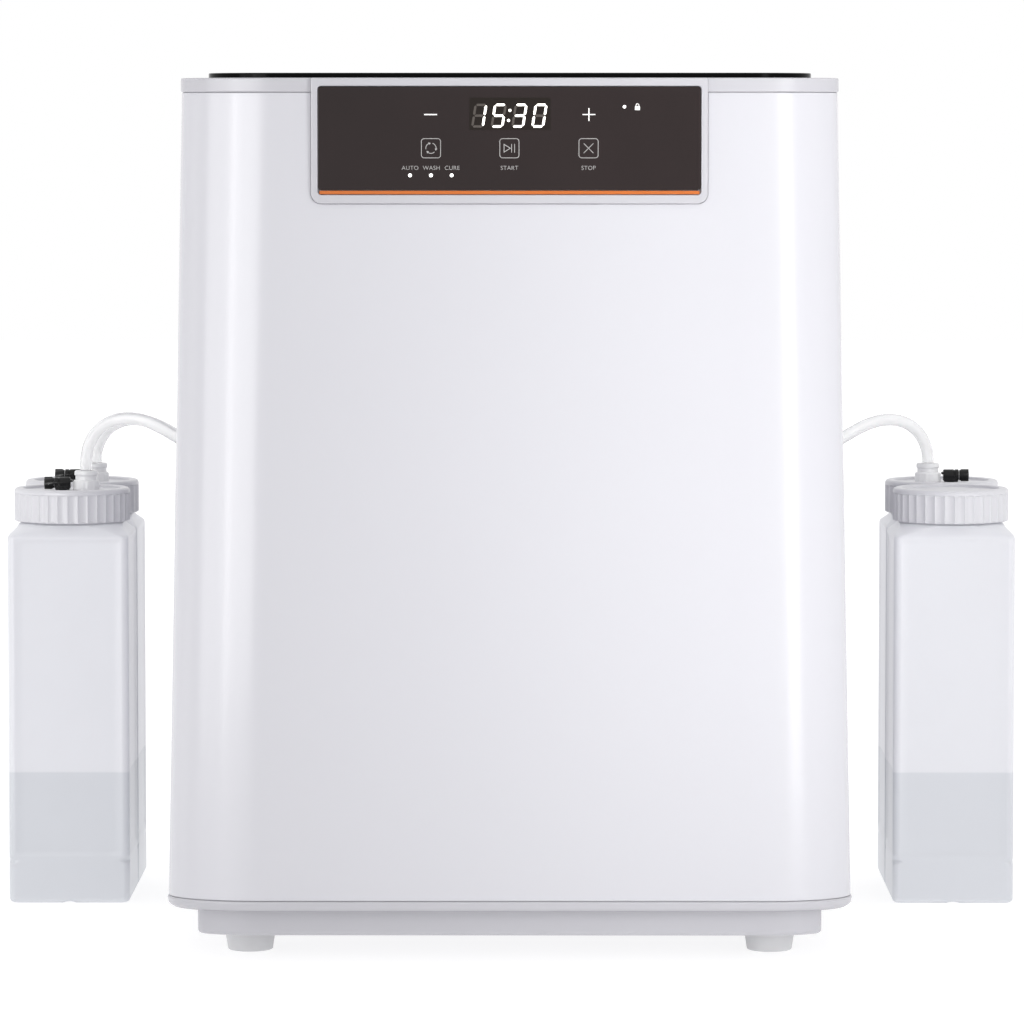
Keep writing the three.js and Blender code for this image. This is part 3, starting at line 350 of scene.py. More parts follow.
def tinted(tree, value, first, second):
    node = tree.nodes.new("ShaderNodeMix")
    node.data_type = "RGBA"
    set_inputs(node, {"A": (*first, 1), "B": (*second, 1)})
    tree.links.new(value, node.inputs["Factor"])
    return node.outputs["Result"]


def bumped(tree, value, distance, strength, shader):
    node = tree.nodes.new("ShaderNodeBump")
    set_inputs(node, {"Distance": distance, "Strength": strength})
    tree.links.new(value, node.inputs["Height"])
    tree.links.new(node.outputs["Normal"], shader.inputs["Normal"])


def moulded(name, color, roughness, grain=900.0, depth=0.00003, variation=0.03, coat=0.0, specular=0.5):
    """Moulded plastic: faint cloudiness in the colour, fine surface grain and uneven gloss."""
    material, tree, shader = new_material(name)
    darker = [c * (1 - variation) for c in color]
    cloud = noise(tree, 14.0, 4.0)
    tree.links.new(tinted(tree, cloud, darker, color), shader.inputs["Base Color"])
    fine = noise(tree, grain, 2.0)
    tree.links.new(mapped(tree, fine, roughness * 0.88, roughness * 1.12), shader.inputs["Roughness"])
    bumped(tree, fine, depth, 0.25, shader)
    set_inputs(shader, {"Specular IOR Level": specular, "Coat Weight": coat, "Coat Roughness": 0.08})
    return material


def brushed(name, color, roughness, stretch):
    """Steel with fine lines drawn along one direction."""
    material, tree, shader = new_material(name)
    lines = noise(tree, 60.0, 5.0, stretch)
    darker = [c * 0.88 for c in color]
    tree.links.new(tinted(tree, lines, darker, color), shader.inputs["Base Color"])
    tree.links.new(mapped(tree, lines, roughness * 0.75, roughness * 1.25), shader.inputs["Roughness"])
    bumped(tree, lines, 0.00002, 0.3, shader)
    shader.inputs["Metallic"].default_value = 1.0
    return material


def milky(name, color, wet_color, clearness, roughness, glow, painted_glow):
    """Milky translucent plastic, which lets some light through and has another colour at the liquid. Its
    emission is a painted glow that stands in for light coming through the walls and evens out the shading.
    """
    material, tree, shader = new_material(name)
    cloud = noise(tree, 30.0, 3.0)
    where = tree.nodes.new("ShaderNodeTexCoord")
    split = tree.nodes.new("ShaderNodeSeparateXYZ")
    tree.links.new(where.outputs["Object"], split.inputs["Vector"])
    level = tree.nodes.new("ShaderNodeMapRange")
    set_inputs(level, {"From Min": (LIQUID_TOP + 0.6) * MM, "From Max": (LIQUID_TOP - 0.6) * MM})
    tree.links.new(split.outputs["Z"], level.inputs["Value"])
    dry = tinted(tree, cloud, [c * 0.97 for c in color], color)
    wet = tinted(tree, cloud, [c * 0.97 for c in wet_color], wet_color)
    both = tree.nodes.new("ShaderNodeMix")
    both.data_type = "RGBA"
    tree.links.new(level.outputs["Result"], both.inputs["Factor"])
    tree.links.new(dry, both.inputs["A"])
    tree.links.new(wet, both.inputs["B"])
    tree.links.new(both.outputs["Result"], shader.inputs["Base Color"])
    # Emission in the wall's own colour: a painted glow standing in for light that passes through the milky
    # walls.
    tree.links.new(both.outputs["Result"], shader.inputs["Emission Color"])
    set_inputs(shader, {"Emission Strength": painted_glow, "Roughness": roughness})
    fine = noise(tree, 700.0, 2.0)
    bumped(tree, fine, 0.00003, 0.3, shader)
    spread = tree.nodes.new("ShaderNodeBsdfTranslucent")
    tree.links.new(both.outputs["Result"], spread.inputs["Color"])
    clear = tree.nodes.new("ShaderNodeBsdfTransparent")
    clear.inputs["Color"].default_value = (0.97, 0.97, 0.98, 1)
    first = tree.nodes.new("ShaderNodeMixShader")
    first.inputs["Fac"].default_value = glow
    second = tree.nodes.new("ShaderNodeMixShader")
    second.inputs["Fac"].default_value = clearness
    tree.links.new(shader.outputs["BSDF"], first.inputs[1])
    tree.links.new(spread.outputs["BSDF"], first.inputs[2])
    tree.links.new(first.outputs["Shader"], second.inputs[1])
    tree.links.new(clear.outputs["BSDF"], second.inputs[2])
    tree.links.new(second.outputs["Shader"], tree.nodes["Material Output"].inputs["Surface"])
    return material


def tinted_glass():
    material, tree, shader = new_material("panel_glass")
    smear = noise(tree, 22.0, 3.0)
    tree.links.new(tinted(tree, smear, (0.013, 0.0075, 0.0075), (0.018, 0.0105, 0.0105)),
                   shader.inputs["Base Color"])
    tree.links.new(mapped(tree, smear, 0.06, 0.11), shader.inputs["Roughness"])
    set_inputs(shader, {"IOR": 1.48, "Specular IOR Level": 0.32})
    return material


def silicone():
    material, tree, shader = new_material("hose_clear")
    cloud = noise(tree, 120.0, 2.0)
    tree.links.new(tinted(tree, cloud, (0.95, 0.95, 0.96), (0.98, 0.98, 0.985)), shader.inputs["Base Color"])
    set_inputs(shader, {"Roughness": 0.22, "Transmission Weight": 0.62, "IOR": 1.41})
    bumped(tree, cloud, 0.00004, 0.3, shader)
    return material


def glowing(name, color, strength):
    material, tree, shader = new_material(name)
    cloud = noise(tree, 300.0, 2.0)
    darker = [c * 0.92 for c in color]
    shade = tinted(tree, cloud, darker, color)
    tree.links.new(shade, shader.inputs["Base Color"])
    tree.links.new(shade, shader.inputs["Emission Color"])
    set_inputs(shader, {"Emission Strength": strength, "Roughness": 0.4})
    return material


def liquid_material():
    material, tree, shader = new_material("wash_liquid")
    cloud = noise(tree, 12.0, 2.0)
    tree.links.new(tinted(tree, cloud, (0.58, 0.61, 0.66), (0.62, 0.65, 0.70)), shader.inputs["Base Color"])
    shader.inputs["Roughness"].default_value = 0.1
    return material


MATERIALS = {
    "casing_white": moulded("casing_white", (0.54, 0.537, 0.572), 0.2, 500.0, 0.00001, 0.015, 0.15),
    "grey_trim": moulded("grey_trim", (0.458, 0.453, 0.484), 0.24),
    "foot_grey": moulded("foot_grey", (0.55, 0.55, 0.565), 0.5),
    "lid_black": moulded("lid_black", (0.002, 0.002, 0.002), 0.14, 300.0, 0.000005, 0.1, 0.0, 0.05),
    "black_plastic": moulded("black_plastic", (0.03, 0.03, 0.031), 0.42),
    "rubber_black": moulded("rubber_black", (0.035, 0.035, 0.036), 0.75),
    "steel": brushed("steel", (0.62, 0.63, 0.65), 0.34, (1, 1, 12)),
    "tank_steel": brushed("tank_steel", (0.66, 0.67, 0.69), 0.28, (1, 1, 16)),
    "basket_steel": brushed("basket_steel", (0.7, 0.71, 0.73), 0.26, (1, 1, 12)),
    "panel_glass": tinted_glass(),
    "accent_orange": moulded("accent_orange", (0.50, 0.125, 0.018), 0.35, specular=0.3),
    "circuit_board": moulded("circuit_board", (0.03, 0.16, 0.06), 0.5),
    "uv_lamp": glowing("uv_lamp", (0.55, 0.48, 0.85), 0.35),
    "white_plastic": moulded("white_plastic", (0.84, 0.84, 0.85), 0.32),
    # The bottles' emission strength is a painted glow that flattens their shading.
    "bottle_milky": milky("bottle_milky", (0.70, 0.703, 0.735), (0.605, 0.618, 0.652),
                          clearness=0.06, roughness=0.3, glow=0.12, painted_glow=0.2),
    "cap_grey": moulded("cap_grey", (0.66, 0.657, 0.69), 0.33),
    "vent_black": moulded("vent_black", (0.004, 0.004, 0.004), 0.16, 400.0, 0.00001, 0.1, 0.0, 0.3),
    "hose_clear": silicone(),
}
PRINT_WHITE = glowing("print_white", (0.86, 0.85, 0.83), 0.35)
PRINT_GREY = glowing("print_grey", (0.37, 0.36, 0.355), 0.12)
LED_WHITE = glowing("led_white", (1.0, 0.98, 0.95), 1.2)
DIGIT_LIT = glowing("digit_lit", (1.0, 0.97, 0.88), 1.6)
DIGIT_UNLIT = moulded("digit_unlit", (0.085, 0.074, 0.066), 0.4, specular=0.1)
WINDOW_DARK = moulded("window_dark", (0.016, 0.012, 0.010), 0.3, specular=0.1)
LIQUID = liquid_material()


# ---- Casing ----
def make_shell():
    low = shell_low.z - GAP + FINE_GAP
    high = shell_high.z + GAP - FINE_GAP
    edge = 0.7
    outer = arc((edge, low + edge), edge, 270, 180) + arc((edge, high - edge), edge, 180, 90)
    profile = outer + [(WALL, high), (WALL, low)]
    rings = [at_height(casing_outline(z, inset), z) for inset, z in profile]
    shell = loft("shell", rings, ring_shaped=True)

    cover_half_z = (REAR_COVER_TOP - REAR_COVER_BOTTOM) / 2
    window = rounded_outline(REAR_COVER_HALF_X + GAP, cover_half_z + GAP, REAR_COVER_CORNER, steps=8)
    bezel_low, bezel_high = node_box("panel_bezel")
    notch_half = 60
    notch = rounded_outline(bezel_high.x + FINE_GAP, notch_half, BEZEL_CORNER + FINE_GAP, steps=10)
    tools = [standing("rear_tool", window, -80, 0, y=150, z=REAR_COVER_BOTTOM + cover_half_z),
             standing("notch_tool", notch, 0, 80, y=-150, z=bezel_low.z - FINE_GAP + notch_half)]
    for place_name in SIDES_WITH_HOSE:
        _, y, z = halfway(*node_box("hose_port_" + place_name))
        side_x = math.copysign(195, HOSE_ROUTES[place_name][-1][0])
        tools.append(moved(bar_along_x("port_tool", PORT_HOLE, 30), side_x, y, z))
    cut(shell, *tools)
    soften(shell, 0.45, 2, 60)
    place(shell, "station", "casing_white", "outer_shell")


def hinge_boss(side):
    """The block of the two cheeks that hold a hinge pin. Its slot and bore are cut later."""
    centre = side * HINGE_X
    half = LUG_HALF + 13.0
    boss = box_piece("boss", centre - half, centre + half, HINGE_Y - 7, HINGE_Y + 7,
                     HINGE_Z - 6, CASING_TOP[2] + 1)
    return soften(boss, 0.6, 2)


def hinge_bore(side, radius, half_length):
    return moved(bar_along_x("bore", radius, half_length), side * HINGE_X, HINGE_Y, HINGE_Z)


def make_top_rim():
    low, high = CASING_TOP[2], rim_high.z
    edge = 0.9
    lid_low, lid_high = node_box("lid_panel")
    seat = lid_low.z - GAP
    outside = arc((edge - RIM_PROUD, low + edge), edge, 270, 180)
    outside += arc((edge - RIM_PROUD, high - edge), edge, 180, 90)
    rings = [at_height(casing_outline(CASING_TOP[2], inset), z) for inset, z in outside]
    inside = ((1.6, high), (1.15, high - 0.15), (1.0, high - 0.6), (1.0, seat), (-3.0, seat), (-3.0, low))
    rings += [lid_outline(grow, z) for grow, z in inside]
    rim = loft("top_rim_fine", rings, ring_shaped=True)
    bezel_low, bezel_high = node_box("panel_bezel")
    fused(rim, *[hinge_boss(side) for side in (-1, 1)])
    half = bezel_high.x + FINE_GAP
    tools = [box_piece("tool", -half, half, -260, bezel_low.y + 6.5, 500, 530)]
    slot = LUG_HALF + 1
    for side in (-1, 1):
        centre = side * HINGE_X
        tools.append(box_piece("tool", centre - slot, centre + slot, lid_high.y - 12, HINGE_Y + 8, 490, 530))
        tools.append(hinge_bore(side, PIN_RADIUS + GAP, (pin_high.x - pin_low.x) / 2 + GAP))
    cut(rim, *tools)
    soften(rim, 0.3, 2, 60)
    place(rim, "station", "grey_trim", "top_rim")


def make_base():
    base_low, base_high = node_box("base_rim")
    edge = 1.2
    profile = [(3.0, base_low.z), (0.9, base_low.z + 1.3), (-0.3, base_low.z + 2.6)]
    profile += arc((edge - BASE_PROUD, base_high.z - edge), edge, 180, 90)
    profile += [(27.0, base_high.z), (27.0, base_low.z)]
    rings = [at_height(casing_outline(CASING_BOTTOM[2], inset), z) for inset, z in profile]
    base = soften(loft("base_rim_fine", rings, ring_shaped=True), sharp=40)
    place(base, "station", "grey_trim", "base_rim")

    plinth_low, plinth_high = node_box("base_plate")
    profile = arc((PLINTH_INSET + 2.5, plinth_low.z + 2.5), 2.5, 270, 180)
    profile += [(PLINTH_INSET, plinth_high.z), (PLINTH_INSET + 9, plinth_high.z)]
    profile += [(PLINTH_INSET + 9, plinth_low.z + 3)]
    rings = [at_height(casing_outline(CASING_BOTTOM[2], inset), z) for inset, z in profile]
    plinth = loft("plinth", rings)
    hole = rounded_outline(22, 2.2, 2.2, steps=5)
    cut(plinth, *[slab("vent_tool", hole, 0, 40, side * 70, -60 + row * 12)
                  for side in (-1, 1) for row in range(5)])
    soften(plinth, 0.4, 2, 50)
    place(plinth, "station", "grey_trim", "base_plate")


def make_feet():
    for place_name in ("front_left", "front_right", "rear_left", "rear_right"):
        node = "foot_" + place_name
        low, high = node_box(node)
        x, y, _ = halfway(low, high)
        profile = arc((12.3, 1.2), 1.2, 270, 360, 4)
        profile += [(13.9, 4.0), (14.7, 9.0)] + arc((14.2, 12.6), 1.0, 0, 90, 4)
        profile += [(4.0, 13.65), (4.0, high.z)]
        foot = lathe(node + "_fine", profile, x, y, 72)
        cut(foot, lathe("pad_tool", [(9.5, -1), (9.5, 0.6)], x, y, 48))
        place(soften(foot), "station", "foot_grey", node)


def rear_plate(name, half_x, z0, z1, corner, inner, outer):
    """A plate that follows the casing's leaning back, between two depths below its surface."""
    outline = rounded_outline(half_x, (z1 - z0) / 2, corner, steps=8)
    middle = (z0 + z1) / 2
    rings = []
    for depth in (inner, outer):
        rings.append([(-x, casing_y(z + middle) - depth, z + middle) for x, z in outline])
    return loft(name, rings)


def make_rear():
    cover = rear_plate("rear_cover_fine", REAR_COVER_HALF_X - GAP, REAR_COVER_BOTTOM + GAP,
                       REAR_COVER_TOP - GAP, REAR_COVER_CORNER, 3.8, 0.0)
    lip = rear_plate("lip", REAR_COVER_HALF_X + REAR_LIP, REAR_COVER_BOTTOM - REAR_LIP,
                     REAR_COVER_TOP + REAR_LIP, 8, 5.4, 3.5)
    fused(cover, lip)
    fan_x, _, fan_z = halfway(*node_box("fan_frame"))
    inlet_x, _, socket_z = halfway(*node_box("power_inlet"))
    switch_x = halfway(*node_box("power_switch"))[0]
    holes = []
    for row in range(7):
        offset = (row - 3) * 10
        half = math.sqrt(36 ** 2 - offset ** 2)
        holes.append((rounded_outline(half, 2.2, 2.1, steps=6), fan_x, fan_z + offset))
    holes.append((rounded_outline(14.3, 10.8, 1.5, steps=4), inlet_x, socket_z))
    holes.append((rounded_outline(8, 12, 1.5, steps=4), switch_x, socket_z))
    for row in range(9):
        louvre = rounded_outline(60 - abs(row - 4) * 3, 1.6, 1.5, steps=5)
        holes.append((louvre, 0, 400 + row * 7))
    tools = [standing("tool", outline, -60, 0, x, 170, z) for outline, x, z in holes]
    cut(cover, *tools)
    soften(cover, 0.4, 2, 50)
    place(cover, "station", "grey_trim", "rear_cover")

    screw_places = [(x, z) for z in (62, 261, 460) for x in (-120, 120)]
    for index, (x, z) in enumerate(screw_places):
        profile = [(3.4, -1.0)] + arc((2.8, 0.0), 0.6, 0, 90, 4)
        screw = lathe(f"rear_screw_{index + 1}", profile, steps=40)
        slots = [box_piece("tool", -half_x, half_x, -half_y, half_y, 0.15, 2)
                 for half_x, half_y in ((2.2, 0.35), (0.35, 2.2))]
        cut(screw, *slots)
        moved(turned(screw, "X", -90), x, casing_y(z) + 0.2, z)
        place(soften(screw), "station", "steel")


def make_power():
    x, _, z = halfway(*node_box("power_inlet"))
    body = slab("power_inlet_fine", rounded_outline(25, 15, 3, steps=8), 0, 1.3)
    fused(body, slab("throat", rounded_outline(14, 10.5, 2, steps=6), -26, 0.5))
    socket = [(11.5, 8), (-11.5, 8), (-11.5, -4.5), (-8.5, -8), (8.5, -8), (11.5, -4.5)]
    cut(body, slab("cavity", socket, -16, 5))
    pin = rounded_outline(1.1, 2.4, 0.5, steps=3)
    pins = [slab("pin", pin, -16.5, -2, pin_x, pin_y) for pin_x, pin_y in ((-6, 1.5), (0, -2), (6, 1.5))]
    for side in (-1, 1):
        cut(body, lathe("tool", [(1.8, 0.6), (1.8, 3)], x=side * 20, steps=24))
    soften(body, 0.3, 2, 50)
    gathered(body, *[soften(pin, 0.3, 2) for pin in pins])
    moved(turned(body, "X", -90), x, casing_y(z) + GAP, z)
    place(body, "station", "black_plastic", "power_inlet")

    low, high = node_box("power_switch")
    half_x = (high.x - low.x) / 2 - 0.1
    profile = [(0, -10), (3.5, -10), (3.3, -8), (1, 0), (0.2, 6), (0, 10), (-8, 3), (-8, -3)]
    middle_x, _, middle_z = halfway(low, high)
    face = casing_y(middle_z) - 2.5
    rings = [[(middle_x + shift, face + depth, middle_z + height) for depth, height in profile]
             for shift in (-half_x, half_x)]
    rocker = soften(loft("power_switch_fine", rings), 0.5, 3, 20)
    place(rocker, "rocker", "black_plastic", "power_switch")


# ---- Lid ----
def lid_outline(grow, z):
    """The lid plate's outline at a height, made larger or smaller all round."""
    low, high = node_box("lid_panel")
    outline = rounded_outline(high.x + grow, (high.y - low.y) / 2 + grow, LID_CORNER + grow)
    return at_height(outline, z, y=halfway(low, high)[1])


def lid_ring(name, grow_outer, grow_inner, z0, z1):
    rings = [lid_outline(grow_outer, z0), lid_outline(grow_outer, z1),
             lid_outline(grow_inner, z1), lid_outline(grow_inner, z0)]
    return loft(name, rings, ring_shaped=True)


def make_lid():
    low, high = node_box("lid_panel")
    side = arc((0.5, low.z + 0.5), 0.5, 270, 180, 3) + arc((0.6, high.z - 0.6), 0.6, 180, 90, 5)
    rings = [lid_outline(-inset, z) for inset, z in side]
    plate = soften(loft("lid_plate", rings), sharp=40)
    place(plate, "lid", "lid_black", "lid_panel")

    frame_piece = lid_ring("lid_frame_fine", -4, -16, 507, high.z - 5.3)
    for side in (-1, 1):
        x = side * HINGE_X
        arm = box_piece("arm", x - LUG_HALF, x + LUG_HALF, 152, HINGE_Y, low.z - 8, low.z - GAP)
        barrel = moved(bar_along_x("barrel", 5.5, LUG_HALF), x, HINGE_Y, HINGE_Z)
        fused(frame_piece, fused(arm, barrel))
        cut(frame_piece, hinge_bore(side, PIN_RADIUS + GAP, 2 * LUG_HALF))
    soften(frame_piece, 0.4, 2, 50)
    place(frame_piece, "lid", "black_plastic", "lid_frame")

    low, high = node_box("lid_gasket")
    seal = soften(lid_ring("lid_seal", -8, -14, low.z, high.z), 0.6, 3, 50)
    place(seal, "lid", "rubber_black", "lid_gasket")


# ---- Control panel ----
def prism(marks, outline, y0, y1):
    """Adds a plate to a set of marks. Its (x, z) outline runs counter-clockwise seen from the front."""
    verts, faces = marks
    start = len(verts)
    count = len(outline)
    verts += [(x, y0, z) for x, z in outline] + [(x, y1, z) for x, z in outline]
    faces.append([start + i for i in range(count)])
    faces.append([start + count + i for i in reversed(range(count))])
    for i in range(count):
        j = (i + 1) % count
        faces.append([start + j, start + i, start + count + i, start + count + j])


def band(marks, outer, inner, y0, y1):
    """Adds a flat frame between two outlines of equal point counts."""
    verts, faces = marks
    count = len(outer)
    start = len(verts)
    for outline, y in ((outer, y0), (inner, y0), (inner, y1), (outer, y1)):
        verts += [(x, y, z) for x, z in outline]
    for loop in range(4):
        low = start + loop * count
        high = start + ((loop + 1) % 4) * count
        for i in range(count):
            j = (i + 1) % count
            faces.append([low + i, low + j, high + j, high + i])


def stroke(points, width):
    """The outline of a line of this width through points of (x, z)."""
    left, right = [], []
    for i, (x, z) in enumerate(points):
        before = points[max(i - 1, 0)]
        after = points[min(i + 1, len(points) - 1)]
        dx, dz = after[0] - before[0], after[1] - before[1]
        size = math.hypot(dx, dz)
        nx, nz = -dz / size * width / 2, dx / size * width / 2
        left.append((x + nx, z + nz))
        right.append((x - nx, z - nz))
    return right + left[::-1]


def shifted(points, x, z):
    return [(px + x, pz + z) for px, pz in points]


def make_bezel():
    low, high = node_box("panel_bezel")
    front = low.y
    back = -193.0
    half_z = (high.z - low.z) / 2
    spare = 6                  # the outline's upper corners are cut off with this much above the top
    outline = rounded_outline(high.x, half_z + spare, BEZEL_CORNER, steps=12)
    bezel = standing("bezel", outline, -back, -front, z=low.z + half_z + spare)
    top = box_piece("tool", -200, 200, -260, -150, high.z, high.z + 60)
    recess_outline = rounded_outline(GLASS_HALF_X, (GLASS_TOP - GLASS_BOTTOM) / 2, 2.0, steps=6)
    recess = standing("tool", recess_outline, 196.6, 220, z=(GLASS_TOP + GLASS_BOTTOM) / 2)
    half_x, z0, z1 = PANEL_WINDOW
    window = box_piece("tool", -half_x, half_x, -220, -150, z0, z1)
    cut(bezel, top, recess, window)
    soften(bezel, 0.75, 4, 50)
    place(bezel, "station", "grey_trim", "panel_bezel")

    low, high = node_box("panel_glass")
    outline = rounded_outline(high.x, (high.z - low.z) / 2, 1.8, steps=6)
    glass = standing("glass_plate", outline, -high.y, -low.y, z=(high.z + low.z) / 2)
    soften(glass, 0.35, 3, 50)
    place(glass, "station", "panel_glass", "panel_glass")

    low, high = node_box("panel_accent_strip")
    strip = box_piece("accent_strip", low.x, high.x, low.y, high.y, low.z, high.z)
    soften(strip, 0.3, 3, 50)
    place(strip, "station", "accent_orange", "panel_accent_strip")


def segment_outlines():
    """The seven bars of one digit, by letter, about the digit's middle."""
    half_w, half_h, half_t, trim = 3.05, 6.25, 0.68, 0.26
    long_x = half_w - trim
    long_z = half_h - 2 * trim
    flat = [(-long_x, 0), (-long_x + half_t, -half_t), (long_x - half_t, -half_t), (long_x, 0),
            (long_x - half_t, half_t), (-long_x + half_t, half_t)]
    tall = [(0, -long_z / 2), (half_t, -long_z / 2 + half_t), (half_t, long_z / 2 - half_t), (0, long_z / 2),
            (-half_t, long_z / 2 - half_t), (-half_t, -long_z / 2 + half_t)]
    places = {"a": (flat, 0, half_h), "g": (flat, 0, 0), "d": (flat, 0, -half_h),
              "b": (tall, half_w, half_h / 2), "c": (tall, half_w, -half_h / 2),
              "f": (tall, -half_w, half_h / 2), "e": (tall, -half_w, -half_h / 2)}
    outlines = {}
    for letter, (shape, x, z) in places.items():
        outlines[letter] = [(px + x + DIGIT_SLANT * (pz + z), pz + z) for px, pz in shape]
    return outlines


def finish_marks(name, marks, material):
    obj = new_object(name, *marks)
    shape = bmesh.new()
    shape.from_mesh(obj.data)
    bmesh.ops.recalc_face_normals(shape, faces=shape.faces)
    shape.to_mesh(obj.data)
    shape.free()
    obj.data.materials.append(material)
    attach(obj, "station")


def make_display(front):
    """A dark window with four digits of seven bars each, and a colon between them."""
    middle_z = 495.05
    y0, y1 = front - 0.06, front + 0.05
    window = ([], [])
    prism(window, shifted(rounded_outline(23.6, 9.4, 0.8, steps=4), 0.3, 496.1), front - 0.03, y1)
    finish_marks("display_window", window, WINDOW_DARK)
    outlines = segment_outlines()
    digits = ((-17.5, "bc"), (-6.2, "afgcd"), (5.8, "abgcd"), (17.4, "abcdef"))
    lit = ([], [])
    unlit = ([], [])
    for x, letters in digits:
        for letter, outline in outlines.items():
            prism(lit if letter in letters else unlit, shifted(outline, x, middle_z), y0, y1)
    for x, z in ((0.3, 498.1), (-0.5, 492.3)):
        prism(lit, shifted(circle(0.85, 20), x, z), y0, y1)
    finish_marks("display_digits", lit, DIGIT_LIT)
    finish_marks("display_segments", unlit, DIGIT_UNLIT)


def make_key_icons(marks, y0, y1):
    """Three square keys: mode with a ring of arrows, start and pause, and stop with a cross."""
    icon_z = 476.2
    mode_x, start_x, stop_x = -45.5, 0.0, 45.9
    for x in (mode_x, start_x, stop_x):
        outer = shifted(rounded_outline(5.75, 5.75, 1.8, steps=6), x, icon_z)
        inner = shifted(rounded_outline(5.38, 5.38, 1.43, steps=6), x, icon_z)
        band(marks, outer, inner, y0, y1)
    ring = 3.0
    for turn in (90, 210, 330):
        curve = []
        for step in range(9):
            angle = math.radians(turn + 20 + 82 * step / 8)
            curve.append((mode_x + ring * math.cos(angle), icon_z + ring * math.sin(angle)))
        prism(marks, stroke(curve, PRINT_LINE), y0, y1)
        tip = math.radians(turn + 2)
        back = math.radians(turn + 26)
        head = [(mode_x + ring * math.cos(tip), icon_z + ring * math.sin(tip))]
        for radius in (ring + 0.75, ring - 0.75):
            head.append((mode_x + radius * math.cos(back), icon_z + radius * math.sin(back)))
        prism(marks, [head[0], head[2], head[1]], y0 - 0.01, y1)
    play_outer = [(-3.3, -2.6), (0.9, 0.0), (-3.3, 2.6)]
    play_inner = [(-2.93, -1.9), (0.16, 0.0), (-2.93, 1.9)]
    band(marks, shifted(play_outer, start_x, icon_z), shifted(play_inner, start_x, icon_z), y0, y1)
    for x in (1.25, 3.0):
        line = [(start_x + x, icon_z - 2.5), (start_x + x, icon_z + 2.5)]
        prism(marks, stroke(line, PRINT_LINE), y0, y1)
    reach = 2.8
    for lift, direction in ((0.0, 1), (0.01, -1)):
        line = [(stop_x - reach, icon_z - reach * direction), (stop_x + reach, icon_z + reach * direction)]
        prism(marks, stroke(line, PRINT_LINE), y0 - lift, y1)


def make_lock_icon(marks, y0, y1):
    lock_x, lock_z = 74.2, 499.4
    bow = 0.85
    prism(marks, shifted(rounded_outline(1.45, 1.15, 0.2, steps=2), lock_x, lock_z), y0, y1)
    shackle = [(lock_x + bow, lock_z + 0.8)]
    for step in range(9):
        angle = math.pi * step / 8
        shackle.append((lock_x + bow * math.cos(angle), lock_z + 1.65 + bow * math.sin(angle)))
    shackle.append((lock_x - bow, lock_z + 0.8))
    prism(marks, stroke(shackle, PRINT_LINE), y0 - 0.01, y1)


def make_icons(front):
    y0, y1 = front - 0.05, front + 0.05
    keys = ([], [])
    make_key_icons(keys, y0, y1)
    finish_marks("panel_icons", keys, PRINT_GREY)

    signs = ([], [])
    less_x, more_x, key_z = -45.7, 46.1, 495.7
    half = 3.75
    prism(signs, stroke([(less_x - half, key_z), (less_x + half, key_z)], 0.7), y0, y1)
    prism(signs, stroke([(more_x - half, key_z), (more_x + half, key_z)], 0.6), y0, y1)
    prism(signs, stroke([(more_x, key_z - half), (more_x, key_z + half)], 0.6), y0 - 0.01, y1)
    make_lock_icon(signs, y0, y1)
    finish_marks("less_more_and_lock", signs, PRINT_WHITE)

    lights = ([], [])
    mode_lights = [(x, 460.5, 1.08) for x in (-57.7, -45.5, -33.5)]
    for x, z, radius in mode_lights + [(66.7, 500.2, 0.95)]:
        prism(lights, shifted(circle(radius, 28), x, z), y0, y1)
    finish_marks("panel_lights", lights, LED_WHITE)


def make_label(text, x, z, front):
    """Thin printed capitals."""
    drawing = bpy.data.curves.new("label", "FONT")
    drawing.body = text
    drawing.size = LABEL_SIZE * MM
    drawing.extrude = 0.02 * MM
    drawing.offset = -0.04 * MM
    drawing.space_character = 1.06
    drawing.align_x = "CENTER"
    drawing.align_y = "CENTER"
    source = bpy.data.objects.new("label", drawing)
    bpy.context.scene.collection.objects.link(source)
    graph = bpy.context.evaluated_depsgraph_get()
    mesh = bpy.data.meshes.new_from_object(source.evaluated_get(graph), depsgraph=graph)
    bpy.data.objects.remove(source)
    label = bpy.data.objects.new("label_" + text.lower(), mesh)
    bpy.context.scene.collection.objects.link(label)
    mesh.transform(Matrix.Rotation(math.pi / 2, 4, "X"))
    moved(label, x, front - 0.02, z)
    mesh.materials.clear()
    mesh.materials.append(PRINT_GREY)
    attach(label, "station")


def make_panel():
    make_bezel()
    front = node_box("panel_glass")[0].y
    make_display(front)
    make_icons(front)
    for text, x in (("AUTO", -57.6), ("WASH", -45.2), ("CURE", -33.2), ("START", 0.0), ("STOP", 45.9)):
        make_label(text, x, 464.7, front)


# ---- Bottles, caps and fittings ----
def bottle_outline(half, corner, panel):
    """A rounded square whose four sides are sunk by a shallow panel between narrow borders."""
    border = half - corner - 1.0
    groove = border - PANEL_SLOPE
    quarter = []
    for step in range(BOTTLE_STEPS + 1):
        angle = step / BOTTLE_STEPS * math.pi / 2
        quarter.append((half - corner + corner * math.cos(angle), half - corner + corner * math.sin(angle)))
    quarter += [(border, half), (groove, half - panel), (-groove, half - panel), (-border, half)]
    points = []
    for turn in range(4):
        cos, sin = round(math.cos(turn * math.pi / 2)), round(math.sin(turn * math.pi / 2))
        points += [(x * cos - y * sin, x * sin + y * cos) for x, y in quarter]
    return points


